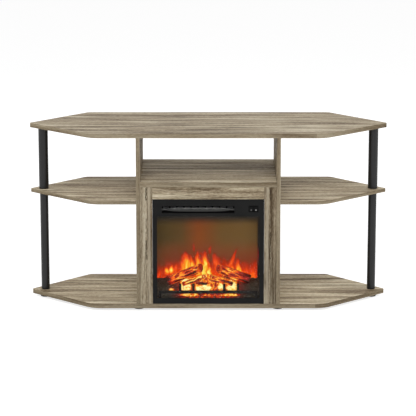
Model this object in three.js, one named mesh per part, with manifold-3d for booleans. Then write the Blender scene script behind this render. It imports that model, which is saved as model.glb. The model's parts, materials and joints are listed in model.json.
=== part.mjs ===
// A TV stand with pointed ends, round poles and an electric fireplace insert between its uprights.
// Millimetres, +Z up, +X to the right, the front faces -Y. The origin is on the floor, under the middle.
import * as THREE from "three";
import { mergeVertices } from "three/addons/utils/BufferGeometryUtils.js";
import Module from "manifold-3d";

const wasm = await Module();
wasm.setup();

// Stand: boards
const standWidth = 1200;
const standDepth = 395;
const boardThick = 15;
const sideShelfThick = 12;
const uprightThick = 12.5;
const uprightHeight = 562.5;
const uprightSpacing = 452;
const innerSetback = 9.5;
const frontCornerHalf = 385;
const backCornerHalf = 414;
const frontCornerRadius = 75;
const backCornerRadius = 22;
const tipFlat = 6;
const tipRadius = 2.5;
const boardGap = 0.25;

// Stand: face frame round the insert
const stileWidth = 41;
const openingHeight = 357.5;
const headerHeight = 41;
const frameThick = 12.5;

// Stand: poles, studs and feet
const lowerPoleLength = 340;
const poleInset = 43.5;
const upperPoleRadius = 16.25;
const lowerPoleRadius = 14;
const poleWall = 1.5;
const polePlug = 22;
const studRadius = 5;
const studReach = 18;
const topStudDepth = 10;
const footHeight = 10;
const footRadius = 17.5;
const footBevel = 1.5;
const footStemRadius = 4;
const footStemDepth = 9;
const frontFootSetback = 41.5;
const backFootSetback = 47.5;
const holeClearance = 0.3;

// Stand: screws and dowels
const screwRadius = 2.5;
const screwHeadRadius = 4.5;
const screwHeadHeight = 3;
const screwLength = 50;
const screwTip = 4;
const frontScrewSetback = 80;
const backScrewSetback = 85;
const dowelRadius = 3;
const dowelLength = 24;
const dowelInBoard = 8;

// Insert: bezel and window
const insertGap = 0.5;
const bezelSetback = 1;
const bezelPlate = 2.5;
const bezelDepth = 12;
const windowBorder = 14.5;
const windowSill = 20;
const glassThick = 3;
const glassLap = 5;
const seatGap = 0.25;

// Insert: air outlet and its louvre bar
const outletLeftInset = 31;
const outletRightInset = 98;
const outletHeight = 24;
const outletDrop = 7.25;
const louvreInset = 5.5;
const louvreHeight = 15.5;
const louvreThick = 2;
const louvreWebHeight = 5;
const louvreWebThick = 1.25;

// Insert: control recess and rocker switches
const recessInset = 19;
const recessDrop = 4.75;
const recessSideMargin = 2;
const recessEndMargin = 2.4;
const controlPlateThick = 2;
const controlPlateLap = 3;
const rockerWidth = 12;
const rockerRadius = 8.6;
const rockerEndReach = 5;
const rockerMiddleReach = 3.8;
const rockerBackReach = 3;
const rockerTilt = THREE.MathUtils.degToRad(7);
const pivotDepth = 2.5;
const pinRadius = 1.2;
const pinLength = 1.2;
const switchWall = 1.5;
const switchSpace = 0.4;
const switchDepth = 16;
const switchCavity = 9;

// Insert: housing, rear cover, gland and brackets
const housingWall = 2;
const railWidth = 20;
const railInset = 25;
const railSetback = 22;
const rearCoverThick = 1.5;
const rearSlotWidth = 90;
const rearSlotHeight = 4;
const rearSlotPitch = 12;
const rearSlotDrop = 70;
const rearSlotShift = 80;
const rearSlotRows = 5;
const glandRadius = 5.7;
const glandBore = 3.3;
const glandFlangeRadius = 8;
const glandFlangeThick = 2.5;
const glandNeck = 8;
const glandInset = 32;
const glandRise = 32;
const bracketWidth = 30;
const bracketReach = 26;
const bracketHeight = 36;
const bracketThick = 1.5;
const bracketSetback = 130;

// Insert: blower and heater
const blowerSetback = 56;
const blowerRoom = 1.75;
const rotorRadius = 17;
const rotorDisc = 1.5;
const rotorEndGap = 2;
const bladeWidth = 5;
const bladeThick = 1;
const bladeCount = 12;
const bladeTilt = THREE.MathUtils.degToRad(35);
const scrollClearance = 2.5;
const scrollWall = 1.25;
const scrollEnd = THREE.MathUtils.degToRad(60);
const blowerEndPlate = 1.5;
const blowerEndDepth = 84;
const shaftRadius = 2;
const shaftStub = 3;
const shaftInMotor = 11;
const motorBoreRoom = 1;
const motorBossRadius = 6;
const motorBossHeight = 2;
const blowerMotorRadius = 17.5;
const blowerMotorLength = 40;
const heaterSetback = 12;
const heaterDepth = 14;
const heaterFin = 4;
const heaterSlots = 10;

// Insert: flame effect and boards
const screenThick = 2;
const screenGap = 2;
const screenRise = 34;
const reflectorStandoff = 37.5;
const reflectorBackRoom = 49;
const reflectorRise = 46;
const paddleLength = 26;
const paddleWidth = 16;
const paddleThick = 0.8;
const paddleMargin = 10;
const paddleCount = 9;
const paddleTurn = THREE.MathUtils.degToRad(40);
const bearingRadius = 6;
const bearingLength = 8;
const flameMotorRadius = 22;
const flameMotorLength = 20;
const circuitThick = 1.6;
const lightBoardInset = 15;
const lightBoardWidth = 24;
const lightRadius = 2.5;
const lightHeight = 2.5;
const lightCount = 8;
const controlBoardLength = 44;
const controlBoardWidth = 60;
const controlBoardGap = 8;
const relayLength = 19;
const relayWidth = 15;
const relayHeight = 15;

// Insert: ember bed, grate and logs
const bedSideGap = 7.75;
const bedBackRoom = 11.2;
const bedSetback = 19.5;
const bedEdgeHeight = 30;
const bedMiddleHeight = 54;
const bedBackHeight = 64;
const bedPlateauHalf = 100;
const bedHumpHeight = 24;
const bedHumpHalf = 45;
const bedHumpDepth = 25;
const bedLump = 2.5;
const bedLumpPitch = 5.5;
const bedWall = 7;
const bedCavityHeight = 12;
const bedColumns = 28;
const bedRows = 7;
const largeLogRadius = 17;
const smallLogRadius = 8;
const smallLogDepth = 17;
const logSpace = 1.4;
const logClearance = 0.3;
const logSides = 12;
const logRings = 9;
const barkDepth = 0.8;
const grateGap = 1;
const grateBar = 6;
const grateInset = 7;
const grateRailRise = 27;
const grateRailHeight = 9;
const gratePostWidth = 8;
const gratePostHeight = 24;

// The large logs lie behind the small ones, and the bed reaches past them.
const largeLogDepth = smallLogDepth + smallLogRadius + largeLogRadius + 2 * barkDepth + logSpace;
const bedDepth = largeLogDepth + largeLogRadius + barkDepth + bedBackRoom;
// Where each log starts and ends, across and up,
// as shares of half the bed's width and of its height at the back.
const largeLogShares = {
  left_log: [-0.797, 0.88, -0.11, 1.64],
  right_log: [0.161, 1.59, 0.808, 0.96],
};
const smallLogShares = {
  front_left_log: [-0.5, 0.83, -0.05, 1.26],
  front_right_log: [0.03, 1.26, 0.471, 0.83],
};
// Where the grate's posts stand, as shares of half its span.
const gratePostShares = [-0.57, -0.3, 0.32, 0.6];

// Counts of flats in curves, and how far a cutter runs past what it cuts
const turnSteps = 24;
const smallTurnSteps = 16;
const cornerSteps = 3;
const lensSteps = 6;
const cutOverrun = 5;

// Places worked out from the sizes above.
// Those of the insert count from its front face and the bottom board.
const halfDepth = standDepth / 2;
const bottomTop = footHeight + boardThick;
const topUnder = bottomTop + uprightHeight;
const innerBack = halfDepth - innerSetback;
const uprightMiddle = (uprightSpacing + uprightThick) / 2;
const uprightOutside = uprightSpacing / 2 + uprightThick;
const centreShelfUnder = bottomTop + openingHeight + headerHeight;
const sideShelfUnder = bottomTop + lowerPoleLength;
const poleX = standWidth / 2 - poleInset;
const frontScrewY = -halfDepth + frontScrewSetback;
const backScrewY = halfDepth - backScrewSetback;

const openingWidth = uprightSpacing - 2 * stileWidth;
const bezelHalf = openingWidth / 2 - insertGap;
const bezelTop = openingHeight - insertGap;
const glassFront = bezelPlate + seatGap;
const housingHalf = bezelHalf - bezelPlate - seatGap;
const housingLow = insertGap + bezelPlate + seatGap;
const housingHigh = bezelTop - bezelPlate - seatGap;
const housingFloor = housingLow + housingWall;
const housingCeiling = housingHigh - housingWall;
const innerHalf = housingHalf - housingWall;

// The blower's room sits over the deck, and the window ends below it.
const scrollInner = rotorRadius + scrollClearance;
const blowerRise = housingCeiling - blowerRoom - scrollWall - scrollInner;
const deckTop = blowerRise - scrollInner - scrollWall - blowerRoom;
const deckUnder = deckTop - housingWall;
const glassTop = deckUnder - seatGap;
const windowTop = glassTop - glassLap;
const windowHalf = bezelHalf - windowBorder;
const outletMiddle = blowerRise - outletDrop;
const outletLow = -bezelHalf + outletLeftInset;
const outletHigh = bezelHalf - outletRightInset;
const outletTop = outletMiddle + outletHeight / 2;
const shaftHole = shaftRadius + holeClearance;
const motorBore = shaftInMotor + motorBoreRoom;

const slotHalf = rockerWidth / 2 + holeClearance;
const slotRise = rockerRadius + holeClearance;
const rockerSpacing = 2 * (slotHalf + switchWall) + switchSpace;
const recessHalf = (rockerSpacing + rockerWidth) / 2 + recessSideMargin;
const recessRise = rockerRadius + recessEndMargin;
const recessMiddleX = bezelHalf - recessInset - recessHalf;
const recessMiddle = blowerRise - recessDrop;
const switchFront = glassFront + controlPlateThick + seatGap;

// From front to back: window, bed with grate and logs, screen, reflector, rear cover.
const housingFront = glassFront + glassThick + seatGap;
const bedHalf = innerHalf - bedSideGap;
const bedFloor = housingFloor + seatGap;
const screenSetback = bedSetback + bedDepth + screenGap;
const reflectorSetback = screenSetback + screenThick + reflectorStandoff;
const housingBack = reflectorSetback + reflectorBackRoom;

const xAxis = new THREE.Vector3(1, 0, 0);
const yAxis = new THREE.Vector3(0, 1, 0);
const zAxis = new THREE.Vector3(0, 0, 1);
// Lays an outline drawn in depth and height along X.
const alongX = new THREE.Matrix4().makeBasis(yAxis, zAxis, xAxis);
const sides = [
  ["left", -1],
  ["right", 1],
];

const stand = new THREE.Group();
const insert = new THREE.Group();
insert.position.set(0, -halfDepth + bezelSetback, bottomTop);
stand.add(insert);

// Finishes
function finish(color, roughness, metalness) {
  return () => new THREE.MeshStandardMaterial({ color, roughness, metalness });
}
const greyOak = finish(0x968c78, 0.6, 0);
const blackTube = finish(0x26272a, 0.45, 0.1);
const blackPlastic = finish(0x1c1c1e, 0.6, 0);
const blackSteel = finish(0x1a1a1b, 0.5, 0.6);
const zincSteel = finish(0xb4b6b8, 0.35, 0.9);
const beech = finish(0xc9a878, 0.7, 0);
const bezelBlack = finish(0x242425, 0.5, 0.1);
const louvreGrey = finish(0x3e3e3e, 0.5, 0.2);
const darkGlass = finish(0x2a2522, 0.1, 0);
const circuitGreen = finish(0x2d5a3a, 0.6, 0);
const finAluminium = finish(0xa8a9ab, 0.4, 0.8);
const flameFilm = finish(0x8a4a20, 0.5, 0);
const emberResin = finish(0xd8601c, 0.7, 0);
const barkResin = finish(0x4a2a1c, 0.8, 0);
const castIron = finish(0x161515, 0.7, 0.5);

// Adds a piece to its group.
function piece(group, name, geometry, surface) {
  const mesh = new THREE.Mesh(geometry, surface());
  mesh.name = name;
  group.add(mesh);
  return mesh;
}

// Closed geometry as a solid that can be joined and cut.
function solid(geometry) {
  const bare = geometry.clone();
  bare.deleteAttribute("normal");
  bare.deleteAttribute("uv");
  const merged = mergeVertices(bare);
  return new wasm.Manifold(
    new wasm.Mesh({
      numProp: 3,
      vertProperties: merged.getAttribute("position").array,
      triVerts: new Uint32Array(merged.index.array),
    }),
  );
}

// A solid's surface as geometry.
function surfaceOf(body) {
  const mesh = body.getMesh();
  const geometry = new THREE.BufferGeometry();
  geometry.setAttribute("position", new THREE.BufferAttribute(mesh.vertProperties, 3));
  geometry.setIndex(new THREE.BufferAttribute(mesh.triVerts, 1));
  geometry.computeVertexNormals();
  return geometry;
}

function joined(geometries) {
  return surfaceOf(geometries.map(solid).reduce((whole, next) => whole.add(next)));
}

function cut(geometry, cutters) {
  const rest = cutters.map(solid).reduce((body, cutter) => body.subtract(cutter), solid(geometry));
  return surfaceOf(rest);
}

// A box between two opposite corners.
function block(low, high) {
  const size = high.map((value, i) => value - low[i]);
  const middle = high.map((value, i) => (value + low[i]) / 2);
  return new THREE.BoxGeometry(...size).translate(...middle);
}

// A round peg that stands at x, y between two heights.
function peg(radius, bottom, top, x, y) {
  const geometry = new THREE.CylinderGeometry(radius, radius, top - bottom, smallTurnSteps);
  return geometry.rotateX(Math.PI / 2).translate(x, y, (bottom + top) / 2);
}

// A round bar along X at depth y and height z.
function bar(radius, from, to, y, z, steps = smallTurnSteps) {
  const geometry = new THREE.CylinderGeometry(radius, radius, to - from, steps);
  return geometry.rotateZ(-Math.PI / 2).translate((from + to) / 2, y, z);
}

// A profile of [radius, height] points turned about Z.
function turned(profile, steps = turnSteps) {
  const points = profile.map(([radius, height]) => new THREE.Vector2(radius, height));
  return new THREE.LatheGeometry(points, steps).rotateX(Math.PI / 2);
}

// A closed outline of [x, y, radius] corners, listed anticlockwise, each rounded by its radius.
function outline(corners) {
  const shape = new THREE.Shape();
  corners.forEach(([x, y, radius], i) => {
    const corner = new THREE.Vector2(x, y);
    const back = new THREE.Vector2(...corners.at(i - 1)).sub(corner).normalize();
    const ahead = new THREE.Vector2(...corners[(i + 1) % corners.length]).sub(corner).normalize();
    const half = Math.acos(back.dot(ahead)) / 2;
    const from = corner.clone().addScaledVector(back, radius / Math.tan(half));
    if (i) shape.lineTo(from.x, from.y);
    else shape.moveTo(from.x, from.y);
    if (!radius) return;
    const to = corner.clone().addScaledVector(ahead, radius / Math.tan(half));
    const inward = back.clone().add(ahead).normalize();
    const centre = corner.clone().addScaledVector(inward, radius / Math.sin(half));
    const start = from.sub(centre).angle();
    shape.absarc(centre.x, centre.y, radius, start, to.sub(centre).angle(), false);
  });
  shape.closePath();
  return shape;
}

function extruded(shape, depth, curveSegments = cornerSteps) {
  return new THREE.ExtrudeGeometry(shape, { depth, bevelEnabled: false, curveSegments });
}

// Stand

// The line that the board ends follow behind the tips, at a given depth.
function backHalfAt(y) {
  const slope = (standWidth / 2 - backCornerHalf) / (halfDepth - tipFlat / 2);
  return backCornerHalf + (halfDepth - y) * slope;
}

function endCorners(backY) {
  return [
    [frontCornerHalf, -halfDepth, frontCornerRadius],
    [standWidth / 2, -tipFlat / 2, tipRadius],
    [standWidth / 2, tipFlat / 2, tipRadius],
    [backHalfAt(backY), backY, backCornerRadius],
  ];
}

function mirrored(corners) {
  return corners.map(([x, y, radius]) => [-x, y, radius]).reverse();
}

function longBoard() {
  const right = endCorners(halfDepth);
  return extruded(outline([...right, ...mirrored(right)]), boardThick);
}

function sideShelf(sign) {
  const inside = uprightOutside + boardGap;
  const corners = [[inside, -halfDepth, 0], ...endCorners(innerBack), [inside, innerBack, 0]];
  const shelf = extruded(outline(sign > 0 ? corners : mirrored(corners)), sideShelfThick);
  const hole = peg(studRadius + holeClearance, -cutOverrun, sideShelfThick + cutOverrun, sign * poleX, 0);
  return cut(shelf, [hole]);
}

// A countersunk screw that points up, head down at height zero. Extra clearance makes its hole.
function screw(clearance = 0) {
  const mouth = clearance ? cutOverrun : 0;
  return turned(
    [
      [0, -mouth],
      [screwHeadRadius + clearance, -mouth],
      [screwHeadRadius + clearance, 0],
      [screwRadius + clearance, screwHeadHeight],
      [screwRadius + clearance, screwLength - screwTip + clearance],
      [0, screwLength + clearance],
    ],
    smallTurnSteps,
  );
}

function dowelHole(x, y, bottom, top) {
  return peg(dowelRadius + holeClearance, bottom, top, x, y);
}

const footPlaces = {
  front: -halfDepth + frontFootSetback,
  rear: halfDepth - backFootSetback,
};
const screwPlaces = { front: frontScrewY, rear: backScrewY };

function bottomBoard() {
  const holes = [];
  for (const [, sign] of sides) {
    const x = sign * uprightMiddle;
    holes.push(peg(studRadius + holeClearance, -cutOverrun, boardThick + cutOverrun, sign * poleX, 0));
    for (const y of Object.values(footPlaces)) {
      holes.push(peg(footStemRadius + holeClearance, -cutOverrun, footStemDepth + holeClearance, x, y));
    }
    for (const y of Object.values(screwPlaces)) {
      holes.push(screw(holeClearance).translate(x, y, 0));
    }
  }
  return cut(longBoard(), holes);
}

function topBoard() {
  const holes = [];
  for (const [, sign] of sides) {
    holes.push(peg(studRadius + holeClearance, -cutOverrun, topStudDepth, sign * poleX, 0));
    for (const y of Object.values(screwPlaces)) {
      holes.push(dowelHole(sign * uprightMiddle, y, -cutOverrun, dowelInBoard + holeClearance));
    }
  }
  return cut(longBoard(), holes);
}

// An upright with its own middle at x zero and its foot at height zero.
function upright() {
  const length = uprightHeight - 2 * boardGap;
  const half = uprightThick / 2;
  const holes = Object.values(screwPlaces).flatMap((y) => [
    screw(holeClearance).translate(0, y, -boardThick - boardGap),
    dowelHole(0, y, length + boardGap - (dowelLength - dowelInBoard) - holeClearance, length + cutOverrun),
  ]);
  return cut(block([-half, -halfDepth, 0], [half, innerBack, length]), holes);
}

// A pole of given length: a tube with a bored plug in each end.
function pole(radius, length) {
  const bore = studRadius + holeClearance;
  const inside = radius - poleWall;
  return turned([
    [bore, 0],
    [radius, 0],
    [radius, length],
    [bore, length],
    [bore, length - polePlug],
    [inside, length - polePlug],
    [inside, polePlug],
    [bore, polePlug],
    [bore, 0],
  ]);
}

// A round foot, its underside at height zero, with the stem or stud that holds it.
function foot(stemRadius, stemTop) {
  const top = footHeight - boardGap;
  return turned([
    [0, 0],
    [footRadius - footBevel, 0],
    [footRadius, footBevel],
    [footRadius, top],
    [stemRadius, top],
    [stemRadius, stemTop],
    [0, stemTop],
  ]);
}

function stud(length) {
  return turned([[0, 0], [studRadius, 0], [studRadius, length], [0, length]], smallTurnSteps);
}

function makeBoards() {
  piece(stand, "bottom_panel", bottomBoard(), greyOak).position.z = footHeight;
  piece(stand, "top_panel", topBoard(), greyOak).position.z = topUnder;
  const shelfHalf = uprightSpacing / 2 - boardGap;
  const centreShelf = block([-shelfHalf, -halfDepth, 0], [shelfHalf, innerBack, boardThick]);
  piece(stand, "centre_shelf", centreShelf, greyOak).position.z = centreShelfUnder;
  for (const [side, sign] of sides) {
    const post = piece(stand, side + "_upright", upright(), greyOak);
    post.position.set(sign * uprightMiddle, 0, bottomTop + boardGap);
    piece(stand, side + "_side_shelf", sideShelf(sign), greyOak).position.z = sideShelfUnder;
  }
}

function makeFaceFrame() {
  const front = -halfDepth;
  const boardWidth = stileWidth - boardGap;
  const stileHeight = openingHeight + headerHeight - 2 * boardGap;
  for (const [side, sign] of sides) {
    const stile = block([-boardWidth / 2, 0, 0], [boardWidth / 2, frameThick, stileHeight]);
    const middle = (openingWidth + boardWidth) / 2;
    piece(stand, side + "_stile", stile, greyOak).position.set(sign * middle, front, bottomTop + boardGap);
  }
  const headerHalf = openingWidth / 2 - boardGap;
  const header = block([-headerHalf, 0, 0], [headerHalf, frameThick, headerHeight - boardGap]);
  piece(stand, "header_rail", header, greyOak).position.set(0, front, bottomTop + openingHeight);
}

function makePoles() {
  const upperFoot = sideShelfUnder + sideShelfThick;
  for (const [side, sign] of sides) {
    const x = sign * poleX;
    const lower = pole(lowerPoleRadius, lowerPoleLength - 2 * boardGap);
    piece(stand, side + "_lower_pole", lower, blackTube).position.set(x, 0, bottomTop + boardGap);
    const upper = pole(upperPoleRadius, topUnder - upperFoot - 2 * boardGap);
    piece(stand, side + "_upper_pole", upper, blackTube).position.set(x, 0, upperFoot + boardGap);
    const middleStud = stud(sideShelfThick + 2 * studReach);
    piece(stand, side + "_middle_stud", middleStud, zincSteel).position.set(x, 0, sideShelfUnder - studReach);
    const topStud = stud(studReach + topStudDepth - boardGap);
    piece(stand, side + "_top_stud", topStud, zincSteel).position.set(x, 0, topUnder - studReach);
    const endFoot = foot(studRadius, bottomTop + studReach);
    piece(stand, side + "_end_foot", endFoot, blackPlastic).position.x = x;
  }
}

function makeFeetAndFasteners() {
  for (const [side, sign] of sides) {
    const x = sign * uprightMiddle;
    for (const [end, y] of Object.entries(footPlaces)) {
      const round = foot(footStemRadius, footHeight + footStemDepth);
      piece(stand, `${end}_${side}_foot`, round, blackPlastic).position.set(x, y, 0);
    }
    for (const [end, y] of Object.entries(screwPlaces)) {
      piece(stand, `${end}_${side}_screw`, screw(), zincSteel).position.set(x, y, footHeight);
      const dowel = peg(dowelRadius, 0, dowelLength, 0, 0);
      const dowelFoot = topUnder + dowelInBoard - dowelLength;
      piece(stand, `${end}_${side}_dowel`, dowel, beech).position.set(x, y, dowelFoot);
    }
  }
}

// Insert

function makeBezel() {
  const shell = block([-bezelHalf, 0, insertGap], [bezelHalf, bezelDepth, bezelTop]);
  const inside = bezelHalf - bezelPlate;
  const hollow = block(
    [-inside, bezelPlate, insertGap + bezelPlate],
    [inside, bezelDepth + cutOverrun, bezelTop - bezelPlate],
  );
  const through = bezelPlate + cutOverrun;
  const hole = (left, right, bottom, top) => block([left, -cutOverrun, bottom], [right, through, top]);
  const openings = [
    hole(-windowHalf, windowHalf, windowSill, windowTop),
    hole(outletLow, outletHigh, outletTop - outletHeight, outletTop),
    hole(
      recessMiddleX - recessHalf,
      recessMiddleX + recessHalf,
      recessMiddle - recessRise,
      recessMiddle + recessRise,
    ),
  ];
  piece(insert, "front_bezel", cut(shell, [hollow, ...openings]), bezelBlack);
  const glassHalf = bezelHalf - bezelPlate - seatGap;
  const glass = block([-glassHalf, 0, housingLow], [glassHalf, glassThick, glassTop]);
  piece(insert, "window_glass", glass, darkGlass).position.y = glassFront;
}

// A pointed lens of a bar on a web that reaches both ends of the outlet.
function makeLouvre() {
  const rise = louvreHeight / 2;
  const webHalf = (outletHigh - outletLow) / 2 - seatGap;
  const half = webHalf + seatGap - louvreInset;
  const radius = (half * half + rise * rise) / (2 * rise);
  const sweep = Math.asin(half / radius);
  const up = Math.PI / 2;
  const lens = new THREE.Shape();
  lens.absarc(0, rise - radius, radius, up - sweep, up + sweep, false);
  lens.absarc(0, radius - rise, radius, -up - sweep, -up + sweep, false);
  const face = extruded(lens, louvreThick, lensSteps).rotateX(Math.PI / 2).translate(0, louvreThick, 0);
  const web = block(
    [-webHalf, louvreThick - louvreWebThick, -louvreWebHeight / 2],
    [webHalf, louvreThick, louvreWebHeight / 2],
  );
  const louvre = piece(insert, "vent_louvre", joined([face, web]), louvreGrey);
  louvre.position.set((outletLow + outletHigh) / 2, seatGap, outletMiddle);
}

// A rocker seen along its pivot: round ends about the pivot and a shallow V in front.
function rockerOutline() {
  const frontRise = Math.sqrt(rockerRadius ** 2 - rockerEndReach ** 2);
  const backRise = Math.sqrt(rockerRadius ** 2 - rockerBackReach ** 2);
  const frontAngle = Math.atan2(frontRise, -rockerEndReach);
  const backAngle = Math.atan2(backRise, rockerBackReach);
  const shape = new THREE.Shape();
  shape.moveTo(-rockerMiddleReach, 0);
  shape.lineTo(-rockerEndReach, -frontRise);
  shape.absarc(0, 0, rockerRadius, -frontAngle, -backAngle, false);
  shape.lineTo(rockerBackReach, backRise);
  shape.absarc(0, 0, rockerRadius, backAngle, frontAngle, false);
  shape.closePath();
  return shape;
}

function makeControls() {
  const plateHalf = recessHalf + controlPlateLap;
  const plateRise = recessRise + controlPlateLap;
  const slots = sides.map(([, sign]) => {
    const slot = block([-slotHalf, -cutOverrun, -slotRise], [slotHalf, controlPlateThick + cutOverrun, slotRise]);
    return slot.translate((sign * rockerSpacing) / 2, 0, 0);
  });
  const plate = block([-plateHalf, 0, -plateRise], [plateHalf, controlPlateThick, plateRise]);
  const frontPlate = piece(insert, "control_plate", cut(plate, slots), bezelBlack);
  frontPlate.position.set(recessMiddleX, glassFront, recessMiddle);

  const bodyHalf = slotHalf + switchWall;
  const bodyRise = slotRise + switchWall;
  for (const [name, sign] of [["flame", -1], ["heater", 1]]) {
    const x = recessMiddleX + (sign * rockerSpacing) / 2;
    const body = block([-bodyHalf, 0, -bodyRise], [bodyHalf, switchDepth, bodyRise]);
    const cavity = block([-slotHalf, -cutOverrun, -slotRise], [slotHalf, switchCavity, slotRise]);
    const pinHole = bar(pinRadius + holeClearance, -bodyHalf - cutOverrun, bodyHalf + cutOverrun, 0, 0);
    pinHole.translate(0, pivotDepth, 0);
    piece(insert, name + "_switch_body", cut(body, [cavity, pinHole]), blackPlastic).position.set(
      x,
      switchFront,
      recessMiddle,
    );
    const face = extruded(rockerOutline(), rockerWidth).applyMatrix4(alongX);
    face.translate(-rockerWidth / 2, 0, 0);
    const pinEnd = rockerWidth / 2 + pinLength;
    const withPin = joined([face, bar(pinRadius, -pinEnd, pinEnd, 0, 0)]);
    const rocker = piece(insert, name + "_rocker", withPin, blackPlastic);
    rocker.position.set(x, switchFront + pivotDepth, recessMiddle);
    rocker.rotation.x = -rockerTilt;
  }
}

function makeHousing() {
  const shell = block([-housingHalf, housingFront, housingLow], [housingHalf, housingBack, housingHigh]);
  const hollow = (bottom, top) =>
    block([-innerHalf, housingFront - cutOverrun, bottom], [innerHalf, housingBack + cutOverrun, top]);
  const opened = cut(shell, [hollow(housingFloor, deckUnder), hollow(deckTop, housingCeiling)]);
  const railOut = housingHalf - railInset;
  const rails = sides.map(([, sign]) => {
    const edges = [sign * railOut, sign * (railOut - railWidth)].sort((a, b) => a - b);
    return block(
      [edges[0], housingFront + railSetback, seatGap],
      [edges[1], housingBack - railSetback, housingLow + housingWall / 2],
    );
  });
  const wallMiddle = -innerHalf - housingWall / 2;
  const bossEnd = -innerHalf + bearingLength;
  const boss = bar(bearingRadius, wallMiddle, bossEnd, reflectorSetback, reflectorRise);
  const bore = bar(shaftHole, -innerHalf, bossEnd + cutOverrun, reflectorSetback, reflectorRise);
  piece(insert, "firebox_housing", cut(joined([opened, boss, ...rails]), [bore]), blackSteel);
}

function makeRearCover() {
  const cover = block([-housingHalf, 0, housingLow], [housingHalf, rearCoverThick, housingHigh]);
  const cutters = [];
  for (const [, sign] of sides) {
    for (let row = 0; row < rearSlotRows; row++) {
      const x = sign * rearSlotShift;
      const top = housingHigh - rearSlotDrop - row * rearSlotPitch;
      cutters.push(
        block(
          [x - rearSlotWidth / 2, -cutOverrun, top - rearSlotHeight],
          [x + rearSlotWidth / 2, rearCoverThick + cutOverrun, top],
        ),
      );
    }
  }
  const glandX = housingHalf - glandInset;
  const glandZ = housingLow + glandRise;
  const glandHole = peg(glandRadius + holeClearance, -cutOverrun, rearCoverThick + cutOverrun, 0, 0);
  cutters.push(glandHole.rotateX(-Math.PI / 2).translate(glandX, 0, glandZ));
  piece(insert, "rear_cover", cut(cover, cutters), blackSteel).position.y = housingBack + seatGap;

  const flangeEnd = glandNeck + glandFlangeThick;
  const gland = turned([
    [glandBore, 0],
    [glandRadius, 0],
    [glandRadius, glandNeck],
    [glandFlangeRadius, glandNeck],
    [glandFlangeRadius, flangeEnd],
    [glandBore, flangeEnd],
    [glandBore, 0],
  ]);
  const bushing = piece(insert, "cord_gland", gland, blackPlastic);
  bushing.rotation.x = -Math.PI / 2;
  bushing.position.set(glandX, housingBack + 2 * seatGap + rearCoverThick - glandNeck, glandZ);
}

function makeBrackets() {
  const face = housingHalf + seatGap;
  for (const [side, sign] of sides) {
    const foldedUp = block([0, 0, 0], [bracketThick, bracketWidth, bracketHeight]);
    const flange = block([0, 0, 0], [bracketReach, bracketWidth, bracketThick]);
    const angle = piece(insert, side + "_bracket", joined([foldedUp, flange]), zincSteel);
    angle.position.set(sign * face, bracketSetback + (sign < 0 ? bracketWidth : 0), seatGap);
    angle.rotation.z = sign < 0 ? Math.PI : 0;
  }
}

function makeBlowerHousing() {
  const inner = scrollInner;
  const outer = inner + scrollWall;
  const mouth = glassFront - blowerSetback;
  const wall = new THREE.Shape();
  wall.moveTo(mouth, -inner);
  wall.lineTo(mouth, -outer);
  wall.absarc(0, 0, outer, -Math.PI / 2, scrollEnd, false);
  wall.absarc(0, 0, inner, scrollEnd, -Math.PI / 2, true);
  wall.closePath();
  const span = outletHigh - outletLow + 2 * blowerEndPlate;
  const start = outletLow - blowerEndPlate;
  const scroll = extruded(wall, span, lensSteps).applyMatrix4(alongX).translate(start, 0, 0);
  const lip = outletTop + seatGap - blowerRise;
  const lipEnd = -Math.sqrt(inner * inner - lip * lip);
  const upperPlate = block([start, mouth, lip], [start + span, lipEnd, lip + scrollWall]);
  const endLow = deckTop + seatGap - blowerRise;
  const endHigh = housingCeiling - seatGap - blowerRise;
  const plates = [start, outletHigh].map((x) =>
    block([x, mouth, endLow], [x + blowerEndPlate, mouth + blowerEndDepth, endHigh]),
  );
  const shaftWay = bar(shaftHole, start - cutOverrun, start + span + cutOverrun, 0, 0);
  const whole = cut(joined([scroll, upperPlate, ...plates]), [shaftWay]);
  piece(insert, "blower_housing", whole, blackSteel).position.set(0, blowerSetback, blowerRise);
}

function makeRotor() {
  const low = outletLow + rotorEndGap;
  const high = outletHigh - rotorEndGap;
  const bladeRadius = rotorRadius - bladeWidth / 2;
  const blades = Array.from({ length: bladeCount }, (_, i) => {
    const blade = new THREE.BoxGeometry(high - low, bladeWidth, bladeThick);
    blade.rotateX(bladeTilt).translate((low + high) / 2, bladeRadius - bladeThick, 0);
    return blade.rotateX((2 * Math.PI * i) / bladeCount);
  });
  const discs = [low, high - rotorDisc].map((x) => bar(rotorRadius, x, x + rotorDisc, 0, 0, turnSteps));
  const shaftStart = outletLow - blowerEndPlate - shaftStub;
  const shaftEnd = outletHigh + blowerEndPlate + seatGap + shaftInMotor;
  const shaft = bar(shaftRadius, shaftStart, shaftEnd, 0, 0);
  const rotor = piece(insert, "blower_rotor", joined([...discs, ...blades, shaft]), finAluminium);
  rotor.position.set(0, blowerSetback, blowerRise);
}

// A round motor along Z with its boss at height zero and a blind bore for the shaft.
function motor(radius, length) {
  return turned([
    [0, motorBore],
    [shaftHole, motorBore],
    [shaftHole, 0],
    [motorBossRadius, 0],
    [motorBossRadius, motorBossHeight],
    [radius, motorBossHeight],
    [radius, length],
    [0, length],
  ]);
}

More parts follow.
